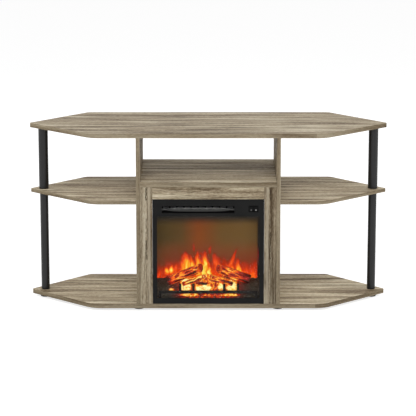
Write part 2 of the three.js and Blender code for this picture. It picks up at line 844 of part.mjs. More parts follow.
function makeBlower() {
  makeBlowerHousing();
  makeRotor();
  const blowerMotor = piece(insert, "blower_motor", motor(blowerMotorRadius, blowerMotorLength), blackSteel);
  blowerMotor.rotation.y = Math.PI / 2;
  blowerMotor.position.set(outletHigh + blowerEndPlate + seatGap, blowerSetback, blowerRise);

  const half = (outletHigh - outletLow) / 2 - seatGap;
  const ductFloor = blowerRise - scrollInner;
  const ductHeight = outletTop - ductFloor;
  const core = block([-half, 0, 0], [half, heaterDepth, ductHeight - seatGap]);
  const pitch = (2 * half - heaterFin) / heaterSlots;
  const slots = Array.from({ length: heaterSlots }, (_, i) => {
    const left = -half + heaterFin + i * pitch;
    return block(
      [left, -cutOverrun, heaterFin],
      [left + pitch - heaterFin, heaterDepth + cutOverrun, ductHeight - seatGap - heaterFin],
    );
  });
  const heater = piece(insert, "heater_element", cut(core, slots), finAluminium);
  heater.position.set((outletLow + outletHigh) / 2, heaterSetback, ductFloor + seatGap);
}

function makeFlameEffect() {
  const screenHalf = innerHalf - seatGap;
  const screen = block([-screenHalf, 0, screenRise], [screenHalf, screenThick, deckUnder - seatGap]);
  piece(insert, "flame_screen", screen, flameFilm).position.y = screenSetback;

  const motorFace = innerHalf - seatGap - flameMotorLength;
  const flameMotor = piece(insert, "flame_motor", motor(flameMotorRadius, flameMotorLength), blackSteel);
  flameMotor.rotation.y = Math.PI / 2;
  flameMotor.position.set(motorFace, reflectorSetback, reflectorRise);

  const shaft = bar(shaftRadius, -innerHalf + seatGap, motorFace + shaftInMotor, 0, 0);
  const paddleStart = -innerHalf + bearingLength + paddleMargin;
  const paddlePitch = (motorFace - paddleMargin - paddleStart) / paddleCount;
  const paddles = Array.from({ length: paddleCount }, (_, i) => {
    const paddle = new THREE.BoxGeometry(paddleLength, paddleWidth, paddleThick);
    return paddle.rotateX(i * paddleTurn).translate(paddleStart + (i + 1 / 2) * paddlePitch, 0, 0);
  });
  const reflector = piece(insert, "flame_reflector", joined([shaft, ...paddles]), finAluminium);
  reflector.position.set(0, reflectorSetback, reflectorRise);

  const stripHalf = bedHalf - bedWall - lightBoardInset;
  const stripEdge = lightBoardWidth / 2;
  const strip = block([-stripHalf, -stripEdge, 0], [stripHalf, stripEdge, circuitThick]);
  const lightPitch = (2 * stripHalf) / lightCount;
  const lights = Array.from({ length: lightCount }, (_, i) =>
    peg(lightRadius, 0, circuitThick + lightHeight, -stripHalf + (i + 1 / 2) * lightPitch, 0),
  );
  const lightBoard = piece(insert, "light_board", joined([strip, ...lights]), circuitGreen);
  lightBoard.position.set(0, bedSetback + bedDepth / 2, housingFloor + seatGap);

  const circuit = block([0, 0, 0], [controlBoardLength, controlBoardWidth, circuitThick]);
  const relay = block([0, 0, 0], [relayWidth, relayLength, circuitThick + relayHeight]);
  relay.translate(controlBoardLength / 2 - relayWidth / 2, controlBoardWidth / 2 - relayLength / 2, 0);
  const controlBoard = piece(insert, "control_board", joined([circuit, relay]), circuitGreen);
  controlBoard.position.set(
    innerHalf - seatGap - controlBoardLength,
    blowerSetback + blowerMotorRadius + controlBoardGap,
    deckTop + seatGap,
  );
}

// Height of the ember bed above its underside, x from its middle and y from its front.
function bedHeight(x, y) {
  const front = bedEdgeHeight + (bedMiddleHeight - bedEdgeHeight) * Math.exp(-((x / bedPlateauHalf) ** 4));
  const slope = front + ((bedBackHeight - front) * y) / bedDepth;
  const humpDepth = (y - largeLogDepth) / bedHumpDepth;
  const hump = bedHumpHeight * Math.exp(-((x / bedHumpHalf) ** 2) - humpDepth ** 2);
  const lumps = bedLump * Math.sin(x / bedLumpPitch) * Math.cos(y / bedLumpPitch);
  return slope + hump + lumps;
}

// A closed block with a flat underside whose top follows a height formula.
function heightBlock(width, depth, columns, rows, height) {
  const across = columns + 1;
  const layer = across * (rows + 1);
  const points = [];
  for (const top of [false, true]) {
    for (let row = 0; row <= rows; row++) {
      for (let column = 0; column <= columns; column++) {
        const x = -width / 2 + (width * column) / columns;
        const y = (depth * row) / rows;
        points.push(x, y, top ? height(x, y) : 0);
      }
    }
  }
  const faces = [];
  const quad = (a, b, c, d) => faces.push(a, b, c, a, c, d);
  for (let row = 0; row < rows; row++) {
    for (let column = 0; column < columns; column++) {
      const a = row * across + column;
      quad(layer + a, layer + a + 1, layer + a + across + 1, layer + a + across);
      quad(a, a + across, a + across + 1, a + 1);
    }
  }
  for (let column = 0; column < columns; column++) {
    const back = rows * across + column;
    quad(column, column + 1, layer + column + 1, layer + column);
    quad(back + 1, back, layer + back, layer + back + 1);
  }
  for (let row = 0; row < rows; row++) {
    const left = row * across;
    const right = left + columns;
    quad(left + across, left, layer + left, layer + left + across);
    quad(right, right + across, layer + right + across, layer + right);
  }
  const geometry = new THREE.BufferGeometry();
  geometry.setAttribute("position", new THREE.Float32BufferAttribute(points, 3));
  geometry.setIndex(faces);
  return geometry;
}

// A log along X from zero, its bark in shallow ridges.
function log(length, radius, turn) {
  const points = [];
  for (let ring = 0; ring < logRings; ring++) {
    for (let side = 0; side < logSides; side++) {
      const angle = (2 * Math.PI * side) / logSides;
      const bark = Math.sin(3 * angle + ring + turn) + Math.sin(5 * angle - 2 * ring + turn);
      const reach = radius + (barkDepth * bark) / 2;
      points.push((length * ring) / (logRings - 1), reach * Math.cos(angle), reach * Math.sin(angle));
    }
  }
  points.push(0, 0, 0, length, 0, 0);
  const firstEnd = logRings * logSides;
  const faces = [];
  for (let side = 0; side < logSides; side++) {
    const next = (side + 1) % logSides;
    for (let ring = 0; ring < logRings - 1; ring++) {
      const a = ring * logSides;
      const b = a + logSides;
      faces.push(a + side, b + next, b + side, a + side, a + next, b + next);
    }
    const last = (logRings - 1) * logSides;
    faces.push(firstEnd, next, side);
    faces.push(firstEnd + 1, last + side, last + next);
  }
  const geometry = new THREE.BufferGeometry();
  geometry.setAttribute("position", new THREE.Float32BufferAttribute(points, 3));
  geometry.setIndex(faces);
  return geometry;
}

// Lays the logs of one size at one depth into the bed, and returns the hollows that they lie in.
function layLogs(shares, radius, depth) {
  return Object.entries(shares).map(([name, [fromX, fromZ, toX, toZ]], turn) => {
    const start = new THREE.Vector2(fromX * bedHalf, fromZ * bedBackHeight);
    const reach = new THREE.Vector2(toX * bedHalf, toZ * bedBackHeight).sub(start);
    const branch = piece(insert, name, log(reach.length(), radius, turn), barkResin);
    branch.position.set(start.x, bedSetback + depth, bedFloor + start.y);
    branch.rotation.y = -reach.angle();
    const cradle = log(reach.length() + 2 * logClearance, radius + 2 * logClearance, turn);
    cradle.translate(-logClearance, 0, 0).rotateY(-reach.angle());
    return cradle.translate(start.x, depth, start.y);
  });
}

function makeFire() {
  const cradles = [
    ...layLogs(largeLogShares, largeLogRadius, largeLogDepth),
    ...layLogs(smallLogShares, smallLogRadius, smallLogDepth),
  ];
  const bed = heightBlock(2 * bedHalf, bedDepth, bedColumns, bedRows, bedHeight);
  const cavityHalf = bedHalf - bedWall;
  const cavityBack = bedDepth - bedWall;
  const cavity = block([-cavityHalf, bedWall, -cutOverrun], [cavityHalf, cavityBack, bedCavityHeight]);
  const emberBed = piece(insert, "ember_bed", cut(bed, [cavity, ...cradles]), emberResin);
  emberBed.position.set(0, bedSetback, bedFloor);

  const half = bedHalf - grateInset;
  const railTop = grateRailRise + grateRailHeight;
  const rail = block([-half, 0, grateRailRise], [half, grateBar, railTop]);
  const legs = sides.map(([, sign]) => {
    const middle = sign * (half - gratePostWidth / 2);
    return block([middle - gratePostWidth / 2, 0, 0], [middle + gratePostWidth / 2, grateBar, railTop]);
  });
  const posts = gratePostShares.map((share) => {
    const middle = share * half;
    return block(
      [middle - gratePostWidth / 2, 0, grateRailRise],
      [middle + gratePostWidth / 2, grateBar, railTop + gratePostHeight],
    );
  });
  const grate = piece(insert, "fire_grate", joined([rail, ...legs, ...posts]), castIron);
  grate.position.set(0, bedSetback - grateGap - grateBar, bedFloor);
}

makeBoards();
makeFaceFrame();
makePoles();
makeFeetAndFasteners();
makeBezel();
makeLouvre();
makeControls();
makeHousing();
makeRearCover();
makeBrackets();
makeBlower();
makeFlameEffect();
makeFire();

export default stand;
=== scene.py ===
import json
import math
import random

import bmesh
import bpy
from mathutils import Matrix, Vector, noise


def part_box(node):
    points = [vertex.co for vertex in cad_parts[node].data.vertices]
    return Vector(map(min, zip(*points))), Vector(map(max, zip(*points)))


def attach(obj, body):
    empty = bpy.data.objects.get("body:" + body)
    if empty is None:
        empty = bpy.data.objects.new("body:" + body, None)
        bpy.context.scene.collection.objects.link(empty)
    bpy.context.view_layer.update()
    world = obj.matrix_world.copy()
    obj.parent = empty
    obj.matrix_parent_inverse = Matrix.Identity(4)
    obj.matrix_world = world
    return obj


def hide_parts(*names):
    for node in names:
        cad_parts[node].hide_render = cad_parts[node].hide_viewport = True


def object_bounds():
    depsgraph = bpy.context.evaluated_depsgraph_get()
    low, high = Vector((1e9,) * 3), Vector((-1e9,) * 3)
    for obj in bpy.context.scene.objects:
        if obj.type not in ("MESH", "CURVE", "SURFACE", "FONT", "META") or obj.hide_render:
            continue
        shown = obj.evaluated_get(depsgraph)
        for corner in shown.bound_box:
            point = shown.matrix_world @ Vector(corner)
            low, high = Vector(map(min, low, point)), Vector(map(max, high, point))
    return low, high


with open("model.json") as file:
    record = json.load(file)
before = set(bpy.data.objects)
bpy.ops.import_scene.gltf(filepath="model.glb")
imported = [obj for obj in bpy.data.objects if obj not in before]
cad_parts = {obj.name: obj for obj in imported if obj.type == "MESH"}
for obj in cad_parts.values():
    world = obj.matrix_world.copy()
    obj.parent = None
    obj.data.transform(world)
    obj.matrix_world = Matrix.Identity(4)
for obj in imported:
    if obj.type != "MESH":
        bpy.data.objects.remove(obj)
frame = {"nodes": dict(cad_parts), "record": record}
cadNodes = frame["nodes"]
cadLow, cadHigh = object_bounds()
print("frame loaded,", len(cadNodes), "CAD nodes")


# Helpers for materials

def tone(red, green, blue):  # a screen colour, 0 to 255, as the linear colour that a shader takes
    def linear(value):
        share = value / 255
        return share / 12.92 if share <= 0.04045 else ((share + 0.055) / 1.055) ** 2.4

    return (linear(red), linear(green), linear(blue), 1.0)


def shaded(colour, share):
    return tuple(min(1.0, part * share) for part in colour[:3]) + (1,)


class Value:
    # A socket that takes part in sums, such as 0.5 * value + 1
    def __init__(self, nodes, socket):
        self.nodes = nodes
        self.socket = socket

    __add__ = lambda a, b: a.nodes.math("ADD", a, b)
    __radd__ = lambda a, b: a.nodes.math("ADD", b, a)
    __sub__ = lambda a, b: a.nodes.math("SUBTRACT", a, b)
    __rsub__ = lambda a, b: a.nodes.math("SUBTRACT", b, a)
    __mul__ = lambda a, b: a.nodes.math("MULTIPLY", a, b)
    __rmul__ = lambda a, b: a.nodes.math("MULTIPLY", b, a)
    __truediv__ = lambda a, b: a.nodes.math("DIVIDE", a, b)
    __abs__ = lambda a: a.nodes.math("ABSOLUTE", a)


class Nodes:
    # Builds a node tree. Every call takes values and plain numbers alike.
    def __init__(self, tree, family="ShaderNode"):
        self.tree = tree
        self.family = family

    def put(self, kind, inputs=None, **settings):
        node = self.tree.nodes.new(self.family + kind)
        for key, value in settings.items():
            setattr(node, key, value)
        for key, value in (inputs or {}).items():
            if isinstance(value, Value):
                self.tree.links.new(value.socket, node.inputs[key])
            else:
                node.inputs[key].default_value = value
        return node

    def take(self, output, kind, inputs=None, **settings):  # one output of a new node
        return Value(self, self.put(kind, inputs, **settings).outputs[output])

    def math(self, operation, a, b=0.0):
        return self.take(0, "Math", {0: a, 1: b}, operation=operation)

    def most(self, a, b):
        return self.math("MAXIMUM", a, b)

    def around(self, value, gain):  # the value less one half, times a gain
        return (value - 0.5) * gain

    def fade(self, value, low, high):  # smooth step from 0 at low to 1 at high
        return self.take(0, "MapRange", {0: value, 1: low, 2: high}, interpolation_type="SMOOTHSTEP")

    def ridge(self, value, middle, half):  # 1 at the middle, 0 beyond half to each side
        return self.fade(abs(value - middle), half, 0.0)

    def axes(self, vector):
        parts = self.put("SeparateXYZ", {0: vector})
        return [Value(self, part) for part in parts.outputs]

    def place(self, x=0.0, y=0.0, z=0.0):
        return self.take(0, "CombineXYZ", {0: x, 1: y, 2: z})

    def scaled(self, vector, x, y, z=1.0):
        return self.take(0, "VectorMath", {0: vector, 1: (x, y, z)}, operation="MULTIPLY")

    def upright(self, x, z, wide, tall, shift=0.0):  # x and z scaled apart, as a place for a noise
        return self.place(x * wide, shift, z * tall)

    def grain(self, vector, detail=2.0, roughness=0.5, distortion=0.0):
        inputs = {"Vector": vector, "Scale": 1.0, "Detail": detail}
        inputs.update({"Roughness": roughness, "Distortion": distortion})
        return self.take(0, "TexNoise", inputs)

    def seams(self, vector):  # distance to the nearest edge between cells
        inputs = {"Vector": vector, "Scale": 1.0, "Randomness": 1.0}
        return self.take(0, "TexVoronoi", inputs, feature="DISTANCE_TO_EDGE")

    def ramp(self, value, stops):
        node = self.put("ValToRGB", {0: value})
        marks = node.color_ramp.elements
        while len(marks) < len(stops):
            marks.new(0.5)
        for mark, (place, colour) in zip(marks, stops):
            mark.position = place
            mark.color = colour
        return Value(self, node.outputs[0])

    def tinted(self, noise, dark, light):  # most noise lies between 0.3 and 0.7
        return self.ramp(noise, [(0.3, dark), (0.7, light)])

    def blend(self, share, a, b, kind="MIX"):
        return self.take(2, "Mix", {0: share, 6: a, 7: b}, data_type="RGBA", blend_type=kind)

    def bump(self, height, depth):
        return self.take(0, "Bump", {"Height": height, "Distance": depth, "Strength": 1.0})


class Finish(Nodes):
    # One material, with the place in the object and the place on the object's map
    def __init__(self, name):
        self.material = bpy.data.materials.new(name)
        self.material.use_nodes = True
        super().__init__(self.material.node_tree)
        self.tree.nodes.clear()
        spots = self.put("TexCoord").outputs
        self.spot, self.map = Value(self, spots["Object"]), Value(self, spots["UV"])

    def speckle(self, scale, detail=2.0, roughness=0.5):  # noise with the same scale in all directions
        return self.grain(self.scaled(self.spot, scale, scale, scale), detail, roughness)

    def done(self, **inputs):  # ends the material with its one shader
        names = {
            "base": "Base Color",
            "rough": "Roughness",
            "metal": "Metallic",
            "bump": "Normal",
            "shine": "Specular IOR Level",
            "glow": "Emission Color",
            "glowPower": "Emission Strength",
            "ior": "IOR",
            "clear": "Transmission Weight",
        }
        shader = self.take(0, "BsdfPrincipled", {names[key]: value for key, value in inputs.items()})
        self.put("OutputMaterial", {"Surface": shader})
        return self.material


# Helpers for pieces

# the angles over which an edge is shaded sharp and is softened, and the steps of the softening
edgeSet = {"sharp": math.radians(35), "softened": math.radians(40), "steps": 2}


def newObject(name, data):
    made = bpy.data.objects.new(name, data)
    bpy.context.scene.collection.objects.link(made)
    return made


def addPiece(name, mesh, finishes, body, slot, *stoodFor):
    piece = newObject(name, mesh)
    for finish in finishes:
        mesh.materials.append(finish)
    if stoodFor:
        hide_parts(*stoodFor)
    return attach(piece, body)


def meshOf(name, made, sharp=edgeSet["sharp"]):
    bmesh.ops.recalc_face_normals(made, faces=made.faces)
    mesh = bpy.data.meshes.new(name)
    made.to_mesh(mesh)
    made.free()
    for face in mesh.polygons:
        face.use_smooth = True
    mesh.set_sharp_from_angle(angle=sharp)
    return mesh


def softEdges(piece, width):
    bevel = piece.modifiers.new("soft edges", "BEVEL")
    bevel.width = width
    bevel.segments = edgeSet["steps"]
    bevel.limit_method = "ANGLE"
    bevel.angle_limit = edgeSet["softened"]
    bevel.harden_normals = True


def turn(made, profile, x, y, steps):  # turns (radius, height) points about an upright line
    rings = []
    for radius, height in profile:
        spots = steps if radius else 1
        angles = [math.tau * k / spots for k in range(spots)]
        places = [(x + radius * math.cos(a), y + radius * math.sin(a), height) for a in angles]
        rings.append([made.verts.new(place) for place in places])
    pairs = list(zip(rings, rings[1:]))
    if profile[0][0]:
        pairs.append((rings[-1], rings[0]))  # a profile off the axis closes on itself
    for lower, upper in pairs:
        for k in range(steps):
            after = (k + 1) % steps
            corners = [
                lower[k % len(lower)],
                lower[after % len(lower)],
                upper[after % len(upper)],
                upper[k % len(upper)],
            ]
            made.faces.new(list(dict.fromkeys(corners)))


def loft(made, rows, along=None, girth=0.0, endFinish=0):
    # skins closed rings of points and caps both ends; along and girth lay out the map of the skin
    rings = [[made.verts.new(spot) for spot in row] for row in rows]
    count = len(rings[0])
    grainMap = made.loops.layers.uv.new("grain")
    for i, (first, second) in enumerate(zip(rings, rings[1:])):
        for k in range(count):
            after = (k + 1) % count
            face = made.faces.new((first[k], first[after], second[after], second[k]))
            if along:
                sides = (k, k + 1, k + 1, k)
                lengths = (along[i], along[i], along[i + 1], along[i + 1])
                for corner, side, length in zip(face.loops, sides, lengths):
                    corner[grainMap].uv = (length, girth * side / count)
    for cap in (reversed(rings[0]), rings[-1]):
        made.faces.new(list(cap)).material_index = endFinish


def roundCorners(corners, steps):  # corners of (x, y, radius), anticlockwise
    points = []
    for i, (x, y, radius) in enumerate(corners):
        here = Vector((x, y))
        if not radius:
            points.append(here)
            continue
        back = (Vector(corners[i - 1][:2]) - here).normalized()
        ahead = (Vector(corners[(i + 1) % len(corners)][:2]) - here).normalized()
        half = back.angle(ahead) / 2
        centre = here + (back + ahead).normalized() * radius / math.sin(half)
        start = here + back * radius / math.tan(half) - centre
        sweep = math.pi - 2 * half
        for k in range(steps + 1):
            points.append(centre + Matrix.Rotation(sweep * k / steps, 2) @ start)
    return points


# Grey oak laminate. The grain runs along U of the boards' own map, in metres.
oakSet = {
    "darkest": tone(84, 71, 56),
    "dark": tone(120, 106, 86),
    "plain": tone(152, 139, 117),
    "pale": tone(173, 162, 140),
    "palest": tone(194, 184, 163),
    "line": tone(68, 56, 42),
    "crack": tone(48, 38, 28),
    "rough": 0.58,
    "shine": 0.012,
    "poreDepth": 0.00012,
    "broad": 1.6,         # how strongly the bands, the streaks, the short marks and the fibres show
    "streak": 1.5,
    "mottle": 0.8,
    "fibre": 0.8,
    "seamAt": 0.2050,     # from the middle of the stand to the dark seam in the face boards
    "seamHalf": 0.0026,
    "branchAside": 0.0022,  # how far beside the seam its finer branch runs
    "branchHalf": 0.0015,
    "seamEnd": 0.004,     # how softly a stretch of the seam ends
    # stretches of the seam: start and end above the floor, strength
    "seams": [(0.379, 0.421, 1.0), (0.283, 0.318, 0.6), (0.178, 0.272, 1.0), (0.028, 0.040, 0.8)],
    "stripeAt": 0.1955,   # from the middle of the stand to the pale stripe beside the seam
    "stripeHalf": 0.0065,
}


def oakFinish(name, contrast, tint, cracked=False):
    oak = Finish(name)
    u, v, _ = oak.axes(oak.map)
    flat = oak.place(u, v)
    sway = oak.around(oak.grain(oak.scaled(flat, 1.3, 5), 1.0), 0.045)
    drift = oak.around(oak.grain(oak.scaled(flat, 6, 22), 2.0), 0.006)
    bent = oak.place(u, v + (sway + drift))
    broad = oak.around(oak.grain(oak.scaled(bent, 1.9, 33), 2.0, 0.6), oakSet["broad"] * contrast)
    streak = oak.around(oak.grain(oak.scaled(bent, 3.4, 88), 4.0, 0.7), oakSet["streak"] * contrast)
    fibre = oak.grain(oak.scaled(bent, 9, 460), 3.0, 0.65)
    fibres = oak.around(fibre, oakSet["fibre"] * contrast)
    mottle = oak.around(oak.grain(oak.scaled(bent, 75, 260), 2.0, 0.6), oakSet["mottle"] * contrast)
    figure = 0.5 + (broad + mottle + (streak + fibres))
    stops = zip((0.12, 0.33, 0.52, 0.70, 0.92), ("darkest", "dark", "plain", "pale", "palest"))
    colour = oak.ramp(figure, [(place, oakSet[key]) for place, key in stops])
    # year lines crowd together here and there, with a soft tail on one side
    years = oak.math("FRACT", oak.grain(oak.scaled(bent, 0.8, 9), 1.0) * 19.0)
    yearLines = oak.fade(years, 0.0, 0.16) * oak.fade(years, 0.62, 0.16)
    crowd = oak.fade(oak.grain(oak.scaled(bent, 1.7, 13), 2.0), 0.48, 0.66)
    colour = oak.blend(yearLines * crowd * (0.5 * contrast), colour, oakSet["dark"])
    for length, width, reach, start in ((2.6, 75, 0.030, 0.46), (1.7, 36, 0.034, 0.50)):
        wisps = oak.ridge(oak.grain(oak.scaled(bent, length, width), 2.0, 0.5, 0.3), 0.5, reach)
        places = oak.fade(oak.grain(oak.scaled(bent, 2.3, 0.23 * width), 1.0), start, start + 0.12)
        colour = oak.blend(wisps * places * (0.62 * contrast), colour, oakSet["line"])
    pores = oak.fade(oak.grain(oak.scaled(bent, 55, 1500), 1.0), 0.60, 0.74)
    colour = oak.blend(pores * 0.22, colour, oakSet["line"])
    depth = fibre * 0.6 - pores
    if cracked:  # a broken dark seam down the face board, and a pale stripe towards the fire
        x, _, z = oak.axes(oak.spot)
        seamAt, soft = oakSet["seamAt"], oakSet["seamEnd"]
        aside = abs(x)
        wander = oak.around(oak.grain(oak.upright(x, z, 4, 42), 3.0, 0.6), 0.013)
        first = oak.ridge(aside + wander, seamAt, oakSet["seamHalf"])
        mirroredWander = aside - wander * 1.2
        second = oak.ridge(mirroredWander, seamAt + oakSet["branchAside"], oakSet["branchHalf"])
        broken = oak.fade(oak.grain(oak.upright(x, z, 9, 46, 4.0), 2.0), 0.38, 0.46)
        stretches = 0.0
        for start, end, strength in oakSet["seams"]:
            begun = oak.fade(z, start - soft, start + soft)
            inside = begun * oak.fade(z, end + soft, end - soft)
            stretches = oak.most(stretches, inside * strength)
        seam = oak.most(first, second * 0.8) * broken * stretches
        stripe = oak.ridge(aside, oakSet["stripeAt"], oakSet["stripeHalf"])
        colour = oak.blend(stripe * 0.55, colour, oakSet["palest"])
        colour = oak.blend(seam, colour, oakSet["crack"])
        depth -= seam * 2.0
    colour = oak.blend(1.0, colour, tint, "MULTIPLY")
    roughness = oakSet["rough"] + oak.around(streak, 0.14)
    return oak.done(
        base=colour, rough=roughness, shine=oakSet["shine"], bump=oak.bump(depth, oakSet["poreDepth"])
    )


oakFace = oakFinish("grey oak face", 1.0, (1.16, 1.155, 1.15, 1))
# painted light: a brighter copy of the same oak for the shelves and the bottom, standing in for the light
# that the boards above hold back
oakShelfPaintedLight = oakFinish("grey oak shelf", 1.0, (1.42, 1.42, 1.41, 1))
oakBand = oakFinish("grey oak edge band", 0.5, (0.83, 0.82, 0.80, 1))
oakRail = oakFinish("grey oak rail", 0.85, (1.19, 1.19, 1.18, 1))
oakCracked = oakFinish("grey oak face board", 1.0, (0.90, 0.89, 0.88, 1), cracked=True)

# Boards
boardSet = {
    "frontCorner": 0.385,  # from the middle to where the front edge would turn, before it is rounded
    "backCorner": 0.414,
    "frontRadius": 0.075,
    "backRadius": 0.022,
    "tipFlat": 0.006,
    "tipRadius": 0.0025,
    "cornerSteps": 14,
    "softEdge": 0.0007,
    "hole": 0.0003,        # gap round what goes through a hole
    "screwHead": 0.0045,
    "screwHeadHeight": 0.003,
    "holeSteps": 32,
    "bandShift": 0.7,      # where the edge bands lie in the grain's map
}
fastenerSet = {"stud": 0.005, "screw": 0.0025, "dowel": 0.003, "stem": 0.004}  # radii
chance = random.Random(7)


def endCorners(backY):
    deep = cadHigh.y
    slope = (cadHigh.x - boardSet["backCorner"]) / (deep - boardSet["tipFlat"] / 2)
    backX = boardSet["backCorner"] + (deep - backY) * slope
    return [
        (boardSet["frontCorner"], -deep, boardSet["frontRadius"]),
        (cadHigh.x, -boardSet["tipFlat"] / 2, boardSet["tipRadius"]),
        (cadHigh.x, boardSet["tipFlat"] / 2, boardSet["tipRadius"]),
        (backX, backY, boardSet["backRadius"]),
    ]


def mirrored(corners):
    return [(-x, y, radius) for x, y, radius in reversed(corners)]


def boardMesh(name, points, thick, toPlace):  # grain along the first axis, thickness along the third
    made = bmesh.new()
    grainMap = made.loops.layers.uv.new("grain")
    shift = Vector((chance.uniform(-3, 3), chance.uniform(-3, 3)))
    low = [made.verts.new((x, y, 0)) for x, y in points]
    high = [made.verts.new((x, y, thick)) for x, y in points]
    for face in (made.faces.new(low), made.faces.new(high)):
        for corner in face.loops:
            corner[grainMap].uv = corner.vert.co.xy + shift
    run = 0.0
    for i, point in enumerate(points):
        after = (i + 1) % len(points)
        face = made.faces.new((low[i], low[after], high[after], high[i]))
        face.material_index = 1
        ahead = run + (points[after] - point).length
        for corner, spot in zip(face.loops, ((run, 0), (ahead, 0), (ahead, thick), (run, thick))):
            corner[grainMap].uv = Vector(spot) + shift * boardSet["bandShift"]
        run = ahead
    bmesh.ops.transform(made, matrix=toPlace, verts=made.verts)
    return meshOf(name, made)


def flatPlace(node):
    return Matrix.Translation((0, 0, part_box(node)[0].z))


def squareBoard(node, grainAxis, thickAxis):  # a plain board that fills its CAD node's box
    low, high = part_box(node)
    axes = [grainAxis, ({0, 1, 2} - {grainAxis, thickAxis}).pop(), thickAxis]
    size = high - low
    turned = Matrix([[float(axes[c] == r) for c in range(3)] for r in range(3)])
    toPlace = Matrix.Translation(low) @ turned.to_4x4()
    length, width, thick = (size[axis] for axis in axes)
    points = [Vector(spot) for spot in ((0, 0), (length, 0), (length, width), (0, width))]
    return boardMesh(node, points, thick, toPlace)


def drill(board, fasteners):  # a hole for each fastener that stands in the board
    made = bmesh.new()
    for node, radius in fasteners.items():
        low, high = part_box(node)
        middle = (low + high) / 2
        free = boardSet["hole"]
        wide, head = radius + free, boardSet["screwHead"] + free
        profile = [(0, low.z - free), (wide, low.z - free)]
        if node.endswith("screw"):
            profile[1:] = [(head, low.z - free), (head, low.z), (wide, low.z + boardSet["screwHeadHeight"])]
        profile += [(wide, high.z + free), (0, high.z + free)]
        turn(made, profile, middle.x, middle.y, boardSet["holeSteps"])
    cutter = newObject("holes", meshOf("holes", made))
    cut = board.modifiers.new("holes", "BOOLEAN")
    cut.operation = "DIFFERENCE"
    cut.solver = "EXACT"
    cut.object = cutter
    bpy.context.view_layer.update()
    drilled = bpy.data.meshes.new_from_object(board.evaluated_get(bpy.context.evaluated_depsgraph_get()))
    board.modifiers.clear()
    drilled.set_sharp_from_angle(angle=edgeSet["sharp"])
    board.data = drilled
    bpy.data.objects.remove(cutter)


studs, topStuds, screws, dowels, stems = {}, {}, {}, {}, {}  # the radius of each, by node
for side in ("left", "right"):
    studs[side + "_end_foot"] = fastenerSet["stud"]
    topStuds[side + "_top_stud"] = fastenerSet["stud"]
    for end in ("front", "rear"):
        screws[f"{end}_{side}_screw"] = fastenerSet["screw"]
        dowels[f"{end}_{side}_dowel"] = fastenerSet["dowel"]
        stems[f"{end}_{side}_foot"] = fastenerSet["stem"]

longEnds = endCorners(cadHigh.y)
longOutline = roundCorners(longEnds + mirrored(longEnds), boardSet["cornerSteps"])
boards = {}
for node in ("top_panel", "bottom_panel"):
    low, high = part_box(node)
    boards[node] = boardMesh(node, longOutline, high.z - low.z, flatPlace(node))
for node in ("right_side_shelf", "left_side_shelf"):
    low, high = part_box(node)
    inside = min(abs(low.x), abs(high.x))
    ends = [(inside, low.y, 0), *endCorners(high.y), (inside, high.y, 0)]
    outline = roundCorners(ends if low.x > 0 else mirrored(ends), boardSet["cornerSteps"])
    boards[node] = boardMesh(node, outline, high.z - low.z, flatPlace(node))
boards["centre_shelf"] = squareBoard("centre_shelf", 0, 2)
boards["header_rail"] = squareBoard("header_rail", 0, 1)
for side in ("left", "right"):
    boards[side + "_upright"] = squareBoard(side + "_upright", 2, 0)
    boards[side + "_stile"] = squareBoard(side + "_stile", 2, 1)
holes = {
    "top_panel": {**topStuds, **dowels},
    "bottom_panel": {**studs, **stems, **screws},
}
own = {**screws, **dowels}
for side in ("left", "right"):
    holes[side + "_side_shelf"] = {side + "_middle_stud": fastenerSet["stud"]}
    holes[side + "_upright"] = {node: own[node] for node in own if side in node}
# the finish of a board's faces, by a word in its name; the shelves and the bottom take the brightened oak
# copy, painted light against their shade
boardFaces = {"stile": oakCracked, "shelf": oakShelfPaintedLight, "bottom": oakShelfPaintedLight, "rail": oakRail}
for node, mesh in boards.items():
    face = next((finish for word, finish in boardFaces.items() if word in node), oakFace)
    board = addPiece(node + "_oak", mesh, [face, oakBand], "stand", "grey_oak", node)
    if node in holes:
        drill(board, holes[node])
    softEdges(board, boardSet["softEdge"])
print("boards made")

# Poles and feet
poleSet = {
    "tone": tone(19, 19, 20),
    "rough": 0.34,
    "shine": 0.36,
    "wall": 0.0015,
    "plug": 0.022,   # how deep the end plugs reach
    "bore": 0.0053,  # radius of the hole in them
    "edge": 0.0006,
    "steps": 96,
}
footSet = {
    "tone": tone(14, 14, 15),
    "rough": 0.55,
    "edge": 0.0015,
    "grip": 0.0006,  # depth of the hollow under the foot
    "sole": 0.62,    # where the hollow ends, and where the foot stands on the floor, in shares of its radius
    "rim": 0.66,
    "steps": 72,
}


def paintFinish(name, colour, rough, shine, pitch=900, depth=0.00006):
    # smooth paint: a fine orange-peel surface, duller and shinier in patches
    paint = Finish(name)
    peel = paint.speckle(pitch)
    patches = paint.speckle(14, 3.0)
    shade = paint.tinted(patches, shaded(colour, 0.8), shaded(colour, 1.25))
    roughness = rough + paint.around(patches, 0.12)
    return paint.done(base=shade, rough=roughness, shine=shine, bump=paint.bump(peel, depth))


tubeBlack = paintFinish("satin black tube", poleSet["tone"], poleSet["rough"], poleSet["shine"])
plasticBlack = paintFinish("black plastic", footSet["tone"], footSet["rough"], 0.3, 1500, 0.0001)
for side in ("left", "right"):
    for level in ("upper", "lower"):
        node = f"{side}_{level}_pole"
        low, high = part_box(node)
        middle = (low + high) / 2
        radius = (high.x - low.x) / 2
        inner = radius - poleSet["wall"]
        bore, plug, edge = poleSet["bore"], poleSet["plug"], poleSet["edge"]
        made = bmesh.new()
        outside = [(bore, low.z), (radius - edge, low.z), (radius, low.z + edge)]
        outside += [(radius, high.z - edge), (radius - edge, high.z), (bore, high.z)]
        hollow = [(bore, high.z - plug), (inner, high.z - plug), (inner, low.z + plug), (bore, low.z + plug)]
        turn(made, outside + hollow, middle.x, middle.y, poleSet["steps"])
        addPiece(node + "_tube", meshOf(node, made), [tubeBlack], "stand", "black_tube", node)
